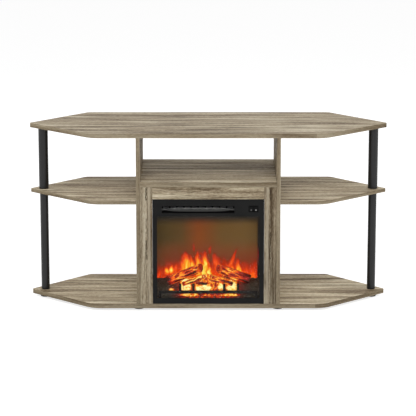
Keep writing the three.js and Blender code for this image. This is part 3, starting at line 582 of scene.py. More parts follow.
# top of a foot, as far below the bottom board as a pole stands above it
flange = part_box("bottom_panel")[0].z - (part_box("left_lower_pole")[0].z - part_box("bottom_panel")[1].z)
for node, stem in {**studs, **stems}.items():
    low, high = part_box(node)
    middle = (low + high) / 2
    radius, edge = (high.x - low.x) / 2, footSet["edge"]
    hollow = low.z + footSet["grip"]
    made = bmesh.new()
    profile = [(0, hollow), (radius * footSet["sole"], hollow), (radius * footSet["rim"], low.z)]
    profile += [(radius - edge, low.z), (radius - edge * 0.3, low.z + edge * 0.3), (radius, low.z + edge)]
    profile += [(radius, flange - edge * 0.5), (radius - edge * 0.5, flange), (stem, flange)]
    profile += [(stem, high.z - edge * 0.5), (stem - edge * 0.5, high.z), (0, high.z)]
    turn(made, profile, middle.x, middle.y, footSet["steps"])
    addPiece(node + "_round", meshOf(node, made), [plasticBlack], "stand", "black_plastic", node)
print("poles and feet made")

# Louvre bar of the air outlet: a long lens with an upper and a lower facet
louvreSet = {
    "steps": 90,
    "halfWidth": 0.1145,
    "half": 0.0064,  # half of the bar's height
    "tipHeight": 0.0009,
    "grooveDepth": 0.0009,
    "fullGroove": 0.004,  # where the bar is less tall than this, the grooves are shallower
    # its front from the lower to the upper edge: share of the groove's depth, share of the half height
    "lens": [
        (0.0, -1.0), (0.25, -0.96), (0.0, -0.5), (0.35, -0.12), (1.0, -0.02),
        (0.35, 0.08), (0.0, 0.5), (0.3, 0.96), (0.6, 1.0),
    ],
    "webHalf": 0.0025,  # the thin web that carries it
    "webThick": 0.0012,
    "sharp": math.radians(22),
    # painted light: a highlight colour for the upper facet, the bar's plain colour, and painted shade for
    # the groove between the facets
    "lit": tone(102, 102, 100),
    "plain": tone(46, 46, 45),
    "shade": tone(14, 14, 14),
}


def louvreFinish():
    bar = Finish("brushed grey louvre")
    x, _, z = bar.axes(bar.spot)
    low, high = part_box("vent_louvre")
    rise = (z - (low.z + high.z) / 2) / louvreSet["half"]
    streaks = bar.grain(bar.upright(x, z, 95, 420), 3.0, 0.6)
    # painted highlight: the upper facet is coloured lighter, as if lit from above; painted shade: a dark
    # line along the groove in the middle
    gleam = bar.fade(rise, 0.0, 0.3) * bar.fade(streaks, 0.4, 0.62)
    colour = bar.blend(gleam, louvreSet["plain"], louvreSet["lit"])
    colour = bar.blend(bar.ridge(rise, -0.04, 0.10), colour, louvreSet["shade"])
    return bar.done(
        base=colour,
        rough=0.48 + bar.around(streaks, 0.2),
        shine=0.2,
        bump=bar.bump(streaks, 0.00006),
    )


low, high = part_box("vent_louvre")
middle = (low + high) / 2
webHalf, webThick = louvreSet["webHalf"], louvreSet["webThick"]
stations = []
for i in range(louvreSet["steps"] + 1):
    reach = math.sin(math.pi * (i / louvreSet["steps"] - 0.5))
    tall = max(louvreSet["tipHeight"], louvreSet["half"] * (1 - abs(reach) ** 5))
    x = middle.x + louvreSet["halfWidth"] * reach
    groove = louvreSet["grooveDepth"] * min(1.0, tall / louvreSet["fullGroove"])
    front = [(x, low.y + groove * deep, middle.z + tall * rise) for deep, rise in louvreSet["lens"]]
    stations.append(front + [(x, high.y, middle.z + tall), (x, high.y, middle.z - tall)])
web = []
for x in (low.x, high.x):
    corners = ((-1, -webHalf), (-1, webHalf), (1, webHalf), (1, -webHalf))
    web.append([(x, high.y - webThick / 2 + webThick / 2 * side, middle.z + rise) for side, rise in corners])
made = bmesh.new()
loft(made, stations)
loft(made, web)
louvre = meshOf("louvre", made, louvreSet["sharp"])
addPiece("louvre_bar", louvre, [louvreFinish()], "stand", "louvre_grey", "vent_louvre")

# Screws that hold the rear cover of the insert, which the CAD part leaves out
coverScrewSet = {
    "radius": 0.0034,
    "rise": 0.0019,
    "recess": 0.0013,
    "recessDepth": 0.0011,
    "inset": 0.0080,
    "steps": 28,
}


def coverScrewMesh(spots):
    high, wide, hole = coverScrewSet["rise"], coverScrewSet["radius"], coverScrewSet["recess"]
    bottom = high - coverScrewSet["recessDepth"]
    profile = [(0, 0), (wide, 0), (wide, high * 0.45), (wide * 0.88, high * 0.78), (wide * 0.62, high)]
    profile += [(hole, high), (hole * 0.8, bottom), (0, bottom)]
    made = bmesh.new()
    for spot in spots:
        head = bmesh.new()
        turn(head, profile, 0, 0, coverScrewSet["steps"])
        toPlace = Matrix.Translation(spot) @ Matrix.Rotation(-math.pi / 2, 4, "X")
        bmesh.ops.transform(head, matrix=toPlace, verts=head.verts)
        part = bpy.data.meshes.new("head")
        head.to_mesh(part)
        head.free()
        made.from_mesh(part)
        bpy.data.meshes.remove(part)
    return meshOf("cover screws", made)


low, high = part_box("rear_cover")
inset = coverScrewSet["inset"]
columns = (low.x + inset, 0.0, high.x - inset)
rows = (low.z + inset, high.z - inset)
coverScrews = coverScrewMesh([(x, high.y, z) for x in columns for z in rows])

# Ember bed: a lumpy moulded shell, hollow over its lamps
emberSet = {
    "pitch": 0.0016,
    "lump": 0.0034,       # how deep the gaps between the lumps go
    "frontLump": 0.013,   # about how wide a lump is, in front and on top
    "topLump": 0.012,
    "crumb": 260,         # fine unevenness: its scale, and its depth as a share of the lumps'
    "crumbDepth": 0.4,
    "brink": 0.0016,      # how far the first row of the top is set back
    "sink": 0.0018,       # how far the top lies below the height that bedHeight gives
    "ledge": 0.03,        # height of a row of points on the back
    "sharp": math.radians(75),
    "frontSteps": 14,
    "topSteps": 38,
    "wall": 0.007,
    "hollow": 0.012,      # how high the space for the lamps reaches
    "front": 0.030,       # height of the front edge at its ends
    "frontRise": 0.024,   # how much higher it is in the middle
    "frontReach": 0.100,  # half the width of that rise
    "back": 0.064,        # height of the back
    "depth": 0.074,
    "hump": 0.024,        # rise of the heap, half its width, its distance from the front, half its depth
    "humpReach": 0.045,
    "humpAt": 0.045,
    "humpDepth": 0.025,
    "coal": tone(33, 33, 29),
    "ash": tone(62, 60, 52),
    # painted light: a pale glow for ash flecks on the cool bed, standing in for room light that doesn't
    # reach inside the firebox
    "paintedAshGlow": tone(74, 60, 46),
    "heat": [
        (0.00, tone(0, 0, 0)),
        (0.20, tone(96, 14, 6)),
        (0.38, tone(196, 42, 12)),
        (0.55, tone(244, 112, 22)),
        (0.70, tone(255, 184, 44)),
        (0.86, tone(255, 228, 96)),
        (1.00, tone(255, 250, 176)),
    ],
    # places that glow: x, z, half width, half height, heat
    "glows": [
        (-0.0750, 0.077, 0.0220, 0.0155, 1.16),
        (-0.0150, 0.073, 0.0330, 0.0135, 1.28),
        (0.0400, 0.076, 0.0110, 0.0140, 1.20),
        (0.0780, 0.075, 0.0210, 0.0155, 1.16),
        (0.0235, 0.079, 0.0080, 0.0160, 0.56),
        (-0.1220, 0.0640, 0.0120, 0.0050, 0.78),
        (-0.0600, 0.050, 0.0400, 0.0054, 0.74),
        (0.0150, 0.049, 0.0420, 0.0044, 0.54),
        (0.0760, 0.050, 0.0310, 0.0054, 0.74),
        (0.0000, 0.098, 0.0900, 0.0280, 0.58),
    ],
    # the broad warm ground under them: x, z, half width, half height, heat
    "warmth": (0.0, 0.070, 0.125, 0.060, 0.27),
}


def hotSpot(finish, x, z, spot):
    across = (x - spot[0]) / spot[2]
    rise = (z - spot[1]) / spot[3]
    away = across * across + rise * rise
    return finish.fade(away, 1.35, 0.25) * spot[4]


def emberFinish():
    ember = Finish("glowing ember resin")
    x, y, z = ember.axes(ember.spot)
    broad = ember.grain(ember.scaled(ember.spot, 48, 48, 75), 3.0, 0.7)
    fine = ember.grain(ember.scaled(ember.spot, 270, 270, 330), 3.0, 0.65)
    bend = ember.around(broad, 0.016)
    bent = ember.place(*(axis + bend for axis in (x, y, z)))
    cracks = ember.seams(ember.scaled(bent, 62, 62, 115))
    heat = hotSpot(ember, x, z, emberSet["warmth"])
    for glow in emberSet["glows"]:
        heat = ember.most(heat, hotSpot(ember, x, z, glow))
    patches = 0.8 + (ember.around(broad, 2.3) + ember.around(fine, 1.1))
    lines = ember.fade(cracks, 0.14, 0.0) * 0.3
    lines -= ember.fade(cracks, 0.2, 0.5) * 0.16
    warm = ember.fade(heat, 0.02, 0.4) * lines
    heat = heat * patches + warm
    spots = ember.fade(ember.grain(ember.scaled(ember.spot, 125, 125, 165), 2.0, 0.6), 0.52, 0.68)
    heat *= 1.0 - spots * 0.5
    glow = ember.ramp(heat, emberSet["heat"])
    # painted light: where the bed is cool, pale ash flecks glow in place of being lit, since little light
    # reaches inside the firebox
    paintedAshFlecks = ember.fade(fine, 0.5, 0.66) * ember.fade(heat, 0.22, 0.04)
    glow = ember.blend(paintedAshFlecks, glow, emberSet["paintedAshGlow"])
    crust = ember.ramp(fine, [(0.35, emberSet["coal"]), (0.7, emberSet["ash"])])
    return ember.done(
        base=ember.blend(ember.fade(heat, 0.05, 0.4), crust, tone(60, 12, 6)),
        rough=0.62 + ember.around(fine, 0.3),
        shine=0.3,
        glow=glow,
        glowPower=1.0,
        bump=ember.bump(fine + broad * 2.0, 0.0012),
    )


def lumpAt(x, y, z, size):  # 0 on top of a lump, towards 1 in the gap beside it
    near = noise.voronoi(Vector((x, y, z)) / size)[0]
    return min(1.0, near[0] / max(near[1], 1e-6)) ** 1.6


def crumbAt(x, y, z):
    return emberSet["crumbDepth"] * noise.noise(Vector((x, y, z)) * emberSet["crumb"])


def bedHeight(x, fromFront):
    front = emberSet["front"] + emberSet["frontRise"] * math.exp(-((x / emberSet["frontReach"]) ** 4))
    aside = (x / emberSet["humpReach"]) ** 2
    behind = ((fromFront - emberSet["humpAt"]) / emberSet["humpDepth"]) ** 2
    lift = emberSet["hump"] * math.exp(-aside - behind)
    return front + (emberSet["back"] - front) * fromFront / emberSet["depth"] + lift


low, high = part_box("ember_bed")
count = round((high.x - low.x) / emberSet["pitch"])
frontSteps, topSteps = emberSet["frontSteps"], emberSet["topSteps"]
sunk, wall = emberSet["lump"], emberSet["wall"]

stations = []
for i in range(count + 1):
    x = low.x + (high.x - low.x) * i / count
    row = []
    front = bedHeight(x, 0.0)
    for k in range(frontSteps):  # up the front face
        z = low.z + front * k / frontSteps
        inward = sunk * (0.10 + lumpAt(x, 0.0, z, emberSet["frontLump"]) + crumbAt(x, 3.0, z))
        row.append((x, low.y + max(0.0, inward) * min(1.0, 0.3 + k / 4), z))
    for k in range(topSteps + 1):  # over the top to the back
        deep = (high.y - low.y) * k / topSteps
        fall = sunk * (0.15 + lumpAt(x, deep, 0.4, emberSet["topLump"]) + crumbAt(x, deep, 9.0))
        y = low.y + deep + (emberSet["brink"] if k == 0 else 0.0)
        row.append((x, y, low.z + bedHeight(x, deep) - emberSet["sink"] - max(0.0, fall)))
    hollow = low.x + wall < x < high.x - wall
    roof, inset = (low.z + emberSet["hollow"], 0.0) if hollow else (low.z, 0.001)
    row += [(x, high.y, low.z + emberSet["ledge"]), (x, high.y, low.z), (x, high.y - wall, low.z)]
    row += [(x, high.y - wall - inset, roof), (x, low.y + wall + inset, roof), (x, low.y + wall, low.z)]
    stations.append(row)
made = bmesh.new()
loft(made, stations)
shell = meshOf("ember shell", made, emberSet["sharp"])
addPiece("ember_shell", shell, [emberFinish()], "stand", "ember_resin", "ember_bed")

# Logs: moulded split wood, lit from below
logSet = {
    "steps": 96,      # round the log
    "pitch": 0.0012,  # along it
    "slant": 1.1,     # how far the end is cut away on the side of the window, in radii
    "chipped": 0.06,  # how much thinner the very ends are
    # shares of the radius that are taken off: everywhere, in grooves, by the bark and by its knots
    "carved": (0.05, 0.055, 0.035, 0.012),
    "sharp": math.radians(75),
    "bark": tone(46, 26, 20),
    "core": tone(92, 26, 18),
    "char": tone(22, 15, 13),
    "heat": [
        (0.00, tone(0, 0, 0)),
        (0.16, tone(60, 9, 7)),
        (0.34, tone(158, 22, 14)),
        (0.52, tone(226, 50, 12)),
        (0.74, tone(248, 118, 22)),
        (0.90, tone(255, 190, 48)),
        (1.00, tone(255, 230, 110)),
    ],
}
# start and end of the middle line, radius, heat, and how far in each end is cooler, in shares of the length
logs = {
    "left_log": ((-0.137, -0.132, 0.0868), (-0.0189, -0.132, 0.1355), 0.017, 0.73, (0.25, 0.0)),
    "right_log": ((0.139, -0.132, 0.0919), (0.0277, -0.132, 0.1323), 0.017, 0.72, (0.66, 0.0)),
    "front_left_log": ((-0.086, -0.160, 0.0836), (-0.0086, -0.160, 0.1111), 0.008, 1.10, (0.3, 0.1)),
    "front_right_log": ((0.081, -0.160, 0.0836), (0.0052, -0.160, 0.1111), 0.008, 1.10, (0.3, 0.1)),
    "charred_stick": ((-0.041, -0.1715, 0.0905), (-0.003, -0.1715, 0.0875), 0.0048, 0.18, (0.0, 0.0)),
    "upright_stick": ((0.0205, -0.1725, 0.0665), (0.0262, -0.1725, 0.0945), 0.0036, 0.55, (0.0, 0.0)),
    "left_stick": ((-0.062, -0.1690, 0.0905), (-0.018, -0.1690, 0.1000), 0.0036, 1.05, (0.0, 0.0)),
    "right_stick": ((0.054, -0.1690, 0.0905), (0.006, -0.1690, 0.0985), 0.0036, 0.95, (0.0, 0.0)),
    "far_stick": ((0.104, -0.1510, 0.0925), (0.046, -0.1510, 0.1100), 0.0042, 0.85, (0.3, 0.0)),
}


def logFinish(name, hot, cool, length, shift):
    bark = Finish(name)
    u, v, _ = bark.axes(bark.map)
    wave = bark.around(bark.grain(bark.place(u * 30, v * 60, shift), 2.0), 0.012)
    around = v + wave
    split = bark.seams(bark.place(u * 15, around * 84, shift))
    thin = bark.seams(bark.place(u * 60, around * 330, shift + 5))
    fine = bark.speckle(300, 3.0, 0.6)
    broad = bark.grain(bark.place(u * 26, v * 40, shift + 2), 2.0)
    reach = u / length
    first, last = cool
    begun = bark.fade(reach, -0.001 - first * 0.2, max(0.002, first))
    ends = begun * bark.fade(reach, 1.001 + last * 0.2, 1 - max(0.002, last))
    lines = bark.most(bark.fade(split, 0.18, 0.03), bark.fade(thin, 0.17, 0.0) * 0.62)
    places = 0.55 + bark.fade(broad, 0.38, 0.6) * 0.45
    heat = lines * (places * (1.02 * hot)) + broad * (0.34 * hot)
    heat += bark.around(fine, 1.2)
    heat -= bark.fade(split, 0.16, 0.3) * 0.26
    heat *= 0.25 + ends * 0.75
    glow = bark.ramp(heat, logSet["heat"])
    crust = bark.ramp(fine, [(0.3, logSet["char"]), (0.55, logSet["bark"]), (0.8, logSet["core"])])
    height = bark.fade(split, 0.0, 0.3) + fine * 0.4
    bump = bark.bump(height, 0.0012)
    return bark.done(base=crust, rough=0.7, shine=0.25, glow=glow, glowPower=1.0, bump=bump)


def logMesh(name, start, end, radius, shift):
    along = end - start
    length = along.length
    forward = along.normalized()
    side = forward.cross(Vector((0, 1, 0))).normalized()
    up = side.cross(forward)
    steps = logSet["steps"]
    rows, spots = [], []
    rings = round(length / logSet["pitch"])
    skin, groove, rough, knotty = logSet["carved"]
    for i in range(rings + 1):
        t = length * i / rings
        row = []
        for k in range(steps):
            across, rise = math.cos(math.tau * k / steps), math.sin(math.tau * k / steps)
            way = side * across + up * rise
            bark = noise.noise(Vector((across * 3.2, rise * 3.2, t * 22 + shift)))
            ribs = abs(noise.noise(Vector((across * 5.5, rise * 5.5, t * 12 + shift + 40))))
            knots = noise.noise(Vector((across * 9, rise * 9, t * 160 + shift)))
            sunk = skin + groove * (1 - min(1.0, ribs * 5)) + rough * (bark + 0.6) + knotty * knots
            chipped = logSet["chipped"] if i in (0, rings) else 0.0
            slanted = t * (1 - logSet["slant"] * radius / length * (1 - way.y) / 2)
            row.append(start + forward * slanted + way * radius * (1 - max(0.0, sunk) - chipped))
        rows.append(row)
        spots.append(t)
    made = bmesh.new()
    loft(made, rows, spots, math.tau * radius, 1)
    return meshOf(name, made, logSet["sharp"]), length


def logEndFinish(name, centre, radius, hot):  # rings of the cut end, with a glowing rim
    cut = Finish(name)
    away = cut.take("Value", "VectorMath", {0: cut.spot, 1: centre}, operation="DISTANCE")
    reach = away / radius
    fine = cut.speckle(300, 3.0, 0.6)
    bent = reach + cut.around(fine, 0.25)
    rings = cut.fade(abs(cut.math("FRACT", bent * 3.4) - 0.5), 0.1, 0.45)
    rim = cut.fade(bent, 0.78, 0.96) * cut.fade(fine, 0.38, 0.6)
    heat = rim * (0.62 * hot) + (rings * (0.46 * hot) + cut.around(fine, 0.5))
    heat += 0.14 * hot
    crust = cut.tinted(fine, logSet["char"], logSet["core"])
    return cut.done(
        base=crust,
        rough=0.7,
        shine=0.25,
        glow=cut.ramp(heat, logSet["heat"]),
        glowPower=1.0,
        bump=cut.bump(rings + fine, 0.0006),
    )


for i, (node, (start, end, radius, hot, cool)) in enumerate(logs.items()):
    words = node.replace("_", " ")
    mesh, length = logMesh(node, Vector(start), Vector(end), radius, 7.0 * i)
    skin = logFinish(words + " resin", hot, cool, length, 3.0 * i)
    ends = logEndFinish(words + " end", end, radius, hot)
    stoodFor = [node] if node in cadNodes else []  # the thin sticks have no CAD node
    addPiece(node + "_bark", mesh, [skin, ends], "stand", "bark_resin", *stoodFor)
print("ember bed and logs made")

# Flame picture on the screen behind the logs
flameSet = {
    "heat": [
        (0.00, tone(70, 38, 18)),
        (0.16, tone(114, 38, 16)),
        (0.32, tone(182, 42, 10)),
        (0.50, tone(230, 62, 12)),
        (0.66, tone(245, 98, 22)),
        (0.80, tone(251, 146, 30)),
        (0.92, tone(255, 202, 50)),
        (1.00, tone(255, 238, 110)),
    ],
    # tongues of flame: x and z of the foot, x and z of the tip, half width, heat
    "tongues": [
        (-0.168, 0.082, -0.160, 0.138, 0.016, 0.52),
        (-0.138, 0.106, -0.142, 0.136, 0.011, 0.94),
        (-0.124, 0.110, -0.119, 0.144, 0.011, 1.04),
        (-0.112, 0.096, -0.104, 0.164, 0.014, 0.56),
        (-0.077, 0.104, -0.074, 0.200, 0.024, 0.98),
        (-0.056, 0.106, -0.060, 0.190, 0.014, 0.90),
        (-0.034, 0.100, -0.035, 0.208, 0.016, 0.92),
        (-0.014, 0.100, -0.011, 0.208, 0.017, 1.00),
        (0.003, 0.080, 0.001, 0.156, 0.015, 1.12),
        (0.026, 0.115, 0.037, 0.186, 0.020, 0.50),
        (0.066, 0.118, 0.107, 0.216, 0.011, 0.60),
        (0.080, 0.098, 0.078, 0.156, 0.013, 0.84),
        (0.106, 0.092, 0.095, 0.178, 0.015, 0.88),
        (0.122, 0.086, 0.118, 0.140, 0.014, 0.72),
        (0.151, 0.076, 0.148, 0.142, 0.024, 0.70),
        (0.176, 0.090, 0.173, 0.200, 0.011, 0.50),
        (-0.049, 0.186, -0.048, 0.230, 0.005, 0.34),
        (0.004, 0.176, 0.007, 0.220, 0.005, 0.36),
    ],
    # the ground behind the flames, from left to right
    "ground": [
        (0.00, tone(58, 44, 18)),
        (0.10, tone(74, 56, 24)),
        (0.26, tone(86, 60, 25)),
        (0.40, tone(126, 62, 20)),
        (0.50, tone(114, 63, 22)),
        (0.62, tone(99, 70, 30)),
        (0.84, tone(102, 75, 36)),
        (1.00, tone(80, 59, 28)),
    ],
    "top": tone(28, 27, 24),
    "halfWidth": 0.18,
    "borderAt": (0.1632, 0.1662),  # where painted shade darkens the picture into its right border
    "gleamAcross": (0.1672, 0.0026),  # middle and half width of the painted reflection of the fire on that border
    "gleamUp": (0.168, 0.036),
}


def flameFinish():
    film = Finish("lit flame picture")
    x, _, z = film.axes(film.spot)
    half = flameSet["halfWidth"]
    slow = film.around(film.grain(film.upright(x, z, 21, 26, 2.0), 2.0), 0.020)
    quick = film.around(film.grain(film.upright(x, z, 90, 70, 5.0), 3.0, 0.6), 0.012)
    bent = x + (slow + quick)
    streaks = film.grain(film.upright(bent, z, 190, 26), 3.0, 0.6)
    clouds = film.grain(film.upright(bent, z, 34, 24, 8.0), 3.0, 0.6)
    curtain = film.grain(film.upright(bent, z, 62, 13, 3.0), 3.0, 0.65)
    dimLeft = film.fade(x, -0.178, -0.112)  # the picture is dimmer towards its left border
    haze = film.fade(z, 0.205, 0.082) * (0.16 + clouds * 0.7)
    heat = haze * (0.55 + dimLeft * 0.45)
    top = 0.15 + film.fade(abs(x + 0.01), 0.15, 0.02) * 0.062
    drape = film.fade(z - top, 0.004, -0.075) * film.fade(curtain, 0.36, 0.64)
    heat = film.most(heat, drape * 0.58)
    for footX, footZ, tipX, tipZ, wide, hot in flameSet["tongues"]:
        rise = (z - footZ) / (tipZ - footZ)
        middleX = footX + rise * (tipX - footX)
        taper = film.math("POWER", film.most(1.0 - rise, 0.0), 0.75)
        away = abs(bent - middleX) / film.most(taper * wide, 0.0004)
        shape = film.fade(away, 1.9, 0.0) * film.fade(rise, 1.02, 0.3)
        shape *= film.fade(z, footZ - 0.02, footZ + 0.006)
        heat = film.most(heat, shape * hot)
    heat *= 0.42 + streaks * 1.14
    ground = film.ramp((x + half) / (2 * half), flameSet["ground"])
    mottle = 0.86 + clouds * 0.28
    ground = film.blend(1.0, ground, film.place(mottle, mottle, mottle), "MULTIPLY")
    warmth = film.fade(z, 0.232, 0.16) * (0.24 + dimLeft * 0.36)
    ground = film.blend(warmth, ground, tone(134, 52, 25))
    ground = film.blend(film.fade(z, 0.268, 0.304), ground, flameSet["top"])
    flames = film.ramp(heat, flameSet["heat"])
    picture = film.blend(film.fade(heat, 0.03, 0.30), ground, flames)
    # painted shade on the right border, and a painted reflection of the fire on it
    picture = film.blend(film.fade(x, *flameSet["borderAt"]), picture, tone(26, 21, 17))
    gleam = film.ridge(x, *flameSet["gleamAcross"]) * film.ridge(z, *flameSet["gleamUp"])
    picture = film.blend(gleam * 0.85, picture, tone(150, 22, 22))
    bump = film.bump(streaks, 0.00002)
    return film.done(base=tone(24, 20, 17), rough=0.6, shine=0.1, glow=picture, glowPower=1.0, bump=bump)


# Finishes of the CAD nodes that show as they are
metalSet = {
    "zinc": (0.50, 0.51, 0.53, 1),
    "aluminium": (0.55, 0.55, 0.56, 1),
    "heater": (0.008, 0.008, 0.008, 1),
}


def metalFinish(name, colour, rough, brushing):
    metal = Finish(name)
    brushed = metal.grain(metal.scaled(metal.spot, *brushing), 4.0, 0.7)
    clouds = metal.speckle(55, 3.0)
    mixed = brushed * 0.5 + clouds * 0.5
    return metal.done(
        base=metal.tinted(mixed, shaded(colour, 0.72), colour),
        rough=rough + metal.around(mixed, 0.3),
        metal=1.0,
        bump=metal.bump(brushed, 0.00004),
    )


def beechFinish():
    beech = Finish("turned beech")
    lines = beech.grain(beech.scaled(beech.spot, 700, 700, 40), 3.0)
    return beech.done(
        base=beech.tinted(lines, tone(176, 138, 92), tone(214, 180, 132)),
        rough=0.6,
        bump=beech.bump(lines, 0.0001),
    )


def glassFinish():
    glass = Finish("window glass")
    smear = glass.grain(glass.scaled(glass.spot, 9, 9, 17), 3.0)
    return glass.done(
        base=glass.tinted(smear, (0.93, 0.93, 0.92, 1), (0.98, 0.98, 0.975, 1)),
        rough=smear * 0.012,
        ior=1.08,
        clear=1.0,
    )


def circuitFinish():
    circuit = Finish("circuit board")
    x, y, z = circuit.axes(circuit.spot)
    flat = circuit.place(x + z, y)
    bricks = circuit.take(1, "TexBrick", {"Vector": flat, "Scale": 130.0, "Mortar Size": 0.035})
    pads = circuit.take(0, "TexVoronoi", {"Vector": flat, "Scale": 190.0, "Randomness": 0.4})
    fine = circuit.speckle(400)
    green = circuit.tinted(fine, tone(20, 66, 38), tone(30, 84, 48))
    tracks = circuit.blend(bricks, green, tone(58, 118, 66))
    return circuit.done(
        base=circuit.blend(circuit.fade(pads, 0.26, 0.2), tracks, tone(186, 164, 104)),
        rough=0.4 + circuit.around(fine, 0.1),
        bump=circuit.bump(bricks, 0.00005),
    )


def ironFinish():
    iron = Finish("cast iron grate")
    grit = iron.speckle(420, 3.0, 0.7)
    clouds = iron.speckle(40, 3.0)
    return iron.done(
        base=iron.tinted(clouds, tone(13, 12, 12), tone(27, 24, 22)),
        rough=0.72 + iron.around(grit, 0.3),
        shine=0.3,
        bump=iron.bump(grit, 0.0005),
    )


rockerSet = {
    "marks": {"flame_rocker": tone(150, 150, 148), "heater_rocker": tone(206, 206, 202)},
    "markFoot": 0.3442,  # height of the mark's foot above the floor
    "markRise": 0.0036,
    "markHalf": 0.0019,  # half of its width at the foot
    "face": (-0.1880, -0.1895),  # it shows on the front face alone
}


def rockerFinish(name, middleX, markTone):  # a small pale mark on the lower half of the rocker's face
    rocker = Finish(name)
    x, y, z = rocker.axes(rocker.spot)
    rise = (z - rockerSet["markFoot"]) / rockerSet["markRise"]
    narrow = (1.0 - rise) * rockerSet["markHalf"]
    inside = rocker.fade(narrow - abs(x - middleX), -0.0001, 0.0001)
    shown = rocker.fade(rise, -0.03, 0.03) * rocker.fade(y, *rockerSet["face"])
    mark = inside * shown
    grit = rocker.speckle(1500)
    plastic = rocker.tinted(grit, tone(6, 6, 6), tone(11, 11, 11))
    return rocker.done(
        base=rocker.blend(mark, plastic, markTone),
        rough=0.5 + rocker.around(grit, 0.15),
        shine=0.1,
        bump=rocker.bump(grit, 0.00004),
    )


heaterDark = metalFinish("blackened heater", metalSet["heater"], 0.6, (60, 800, 800))
zincPlate = metalFinish("zinc plated steel", metalSet["zinc"], 0.36, (120, 120, 700))
bareAluminium = metalFinish("bare aluminium", metalSet["aluminium"], 0.4, (60, 800, 800))
sheetBlack = paintFinish("black painted sheet", tone(20, 20, 20), 0.52, 0.3)
addPiece("rear_cover_screws", coverScrews, [zincPlate], "stand", "zinc_steel")
bezelBlack = paintFinish("bezel paint", tone(22, 22, 22), 0.5, 0.10, 1200, 0.00003)
slotFinishes = {
    "black_plastic": plasticBlack,
    "zinc_steel": zincPlate,
    "beech": beechFinish(),
    "bezel_black": bezelBlack,
    "window_glass": glassFinish(),
    "black_steel": sheetBlack,
    "fin_aluminium": bareAluminium,
    "circuit_green": circuitFinish(),
    "flame_film": flameFinish(),
    "cast_iron": ironFinish(),
}
ownFinishes = {
    "heater_element": heaterDark,
    "control_plate": paintFinish("control plate", tone(8, 8, 8), 0.6, 0.05, 1500, 0.00004),
}
for name, markTone in rockerSet["marks"].items():
    low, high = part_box(name)
    ownFinishes[name] = rockerFinish(name.replace("_", " ") + " plastic", (low.x + high.x) / 2, markTone)


def roundedGroup():  # shades smooth, but keeps every sharp edge
    group = bpy.data.node_groups.new("smooth round sides", "GeometryNodeTree")
    for way in ("INPUT", "OUTPUT"):
        group.interface.new_socket("Geometry", in_out=way, socket_type="NodeSocketGeometry")
    steps = Nodes(group, "")
    into = steps.take(0, "NodeGroupInput")
    compared = {"A": steps.take(0, "GeometryNodeInputMeshEdgeAngle"), "B": edgeSet["sharp"]}
    sharper = steps.take(0, "FunctionNodeCompare", compared, operation="GREATER_THAN")
    faces = steps.take(0, "GeometryNodeSetShadeSmooth", {"Geometry": into})
    kept = {"Geometry": faces, "Selection": sharper, "Shade Smooth": False}
    edges = steps.take(0, "GeometryNodeSetShadeSmooth", kept, domain="EDGE")
    steps.put("NodeGroupOutput", {0: edges})
    return group


cadSoftEdges = {  # width of the softened edges of the CAD nodes that need them
    "front_bezel": 0.0002,
    "control_plate": 0.0002,
    "flame_switch_body": 0.0003,
    "heater_switch_body": 0.0003,
    "firebox_housing": 0.0004,
    "rear_cover": 0.0003,
    "fire_grate": 0.0008,
    "left_bracket": 0.0003,
    "right_bracket": 0.0003,
}
rounded = roundedGroup()
for part in frame["record"]["subparts"]:
    node = part["node"]
    finish = ownFinishes.get(node) or slotFinishes.get(part["material_slot"])
    shown = cadNodes[node]
    if not finish:
        continue
    if not shown.material_slots:
        shown.data.materials.append(finish)
    for spot in shown.material_slots:
        spot.material = finish
    shown.modifiers.new("smooth round sides", "NODES").node_group = rounded
    if node in cadSoftEdges:
        softEdges(shown, cadSoftEdges[node])
print("CAD nodes dressed")

# Camera, lamps, sky and floor
studioSet = {
    "cameraAt": (-0.001, -7.111, 1.947),
    "cameraTurn": 77.02,
    "lens": 186,
    "lampsAim": (0, 0, 0.3),
    "key": {"at": (0, -3.5, 3.5), "size": (3.4, 1.6), "power": 104},
    "sides": {"at": (2.8, -1.1, 1.7), "size": (1.6, 1.6), "power": 26},
    "rear": {"at": (0, 3.4, 2.1), "size": (3.0, 1.2), "power": 34},
    "skyLow": 0.90,   # light of the sky at the horizon and straight above
    "skyHigh": 0.15,
    "floor": (0.55, 0.56),  # grey of the floor, from place to place
    "floorGlow": 0.74,
    "floorHalf": 9.0,
}

cameraData = bpy.data.cameras.new("photo camera")
cameraData.lens = studioSet["lens"]
camera = newObject("photo camera", cameraData)
camera.location = studioSet["cameraAt"]
camera.rotation_euler = (math.radians(studioSet["cameraTurn"]), 0, 0)
bpy.context.scene.camera = camera


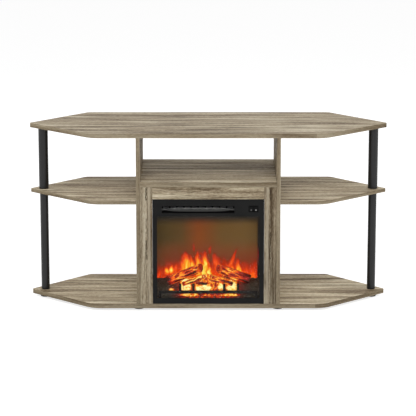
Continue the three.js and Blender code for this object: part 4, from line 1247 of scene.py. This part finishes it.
def softBox(name, at, size, power):
    lampData = bpy.data.lights.new(name, "AREA")
    lampData.shape = "RECTANGLE"
    lampData.size, lampData.size_y = size
    lampData.energy = power
    lamp = newObject(name, lampData)
    lamp.location = at
    aim = Vector(studioSet["lampsAim"]) - Vector(at)
    lamp.rotation_euler = aim.to_track_quat("-Z", "Y").to_euler()
    lamp.visible_camera = False


softBox("key softbox", **studioSet["key"])
softBox("rear softbox", **studioSet["rear"])
x, y, z = studioSet["sides"]["at"]
for name, way in (("left softbox", -1), ("right softbox", 1)):
    softBox(name, (way * x, y, z), studioSet["sides"]["size"], studioSet["sides"]["power"])


def seenDirectly(nodes):  # 1 for what the camera sees, straight or in gloss or through glass
    rays = nodes.put("LightPath").outputs
    total = Value(nodes, rays["Is Camera Ray"])
    for ray in ("Is Glossy Ray", "Is Transmission Ray"):
        total = nodes.most(total, Value(nodes, rays[ray]))
    return total


def between(nodes, share, low, high):
    return nodes.take(0, "MapRange", {0: share, 3: low, 4: high})


sky = bpy.data.worlds.new("white studio")
bpy.context.scene.world = sky
sky.use_nodes = True
background = sky.node_tree.nodes["Background"]
background.inputs["Color"].default_value = (1, 1, 1, 1)
skyNodes = Nodes(sky.node_tree)
upward = skyNodes.axes(skyNodes.take("Generated", "TexCoord"))[2]
skyLight = between(skyNodes, upward, studioSet["skyLow"], studioSet["skyHigh"])
skyPower = between(skyNodes, seenDirectly(skyNodes), skyLight, 1.0)
sky.node_tree.links.new(skyPower.socket, background.inputs["Strength"])

floorFinish = Finish("pale floor")
grit = floorFinish.speckle(3)
greys = [(place, (grey, grey, grey, 1)) for place, grey in zip((0.0, 1.0), studioSet["floor"])]
floorGlow = between(floorFinish, seenDirectly(floorFinish), 0.0, studioSet["floorGlow"])
made = bmesh.new()
bmesh.ops.create_grid(made, x_segments=8, y_segments=8, size=studioSet["floorHalf"])
floorMesh = bpy.data.meshes.new("floor")
made.to_mesh(floorMesh)
made.free()
colour = floorFinish.ramp(grit, greys)
floorMesh.materials.append(
    floorFinish.done(base=colour, rough=0.9, shine=0.0, glow=(1, 1, 1, 1), glowPower=floorGlow)
)
floor = newObject("floor", floorMesh)

bpy.context.scene.view_settings.view_transform = "Standard"
print("camera, lamps and floor set")
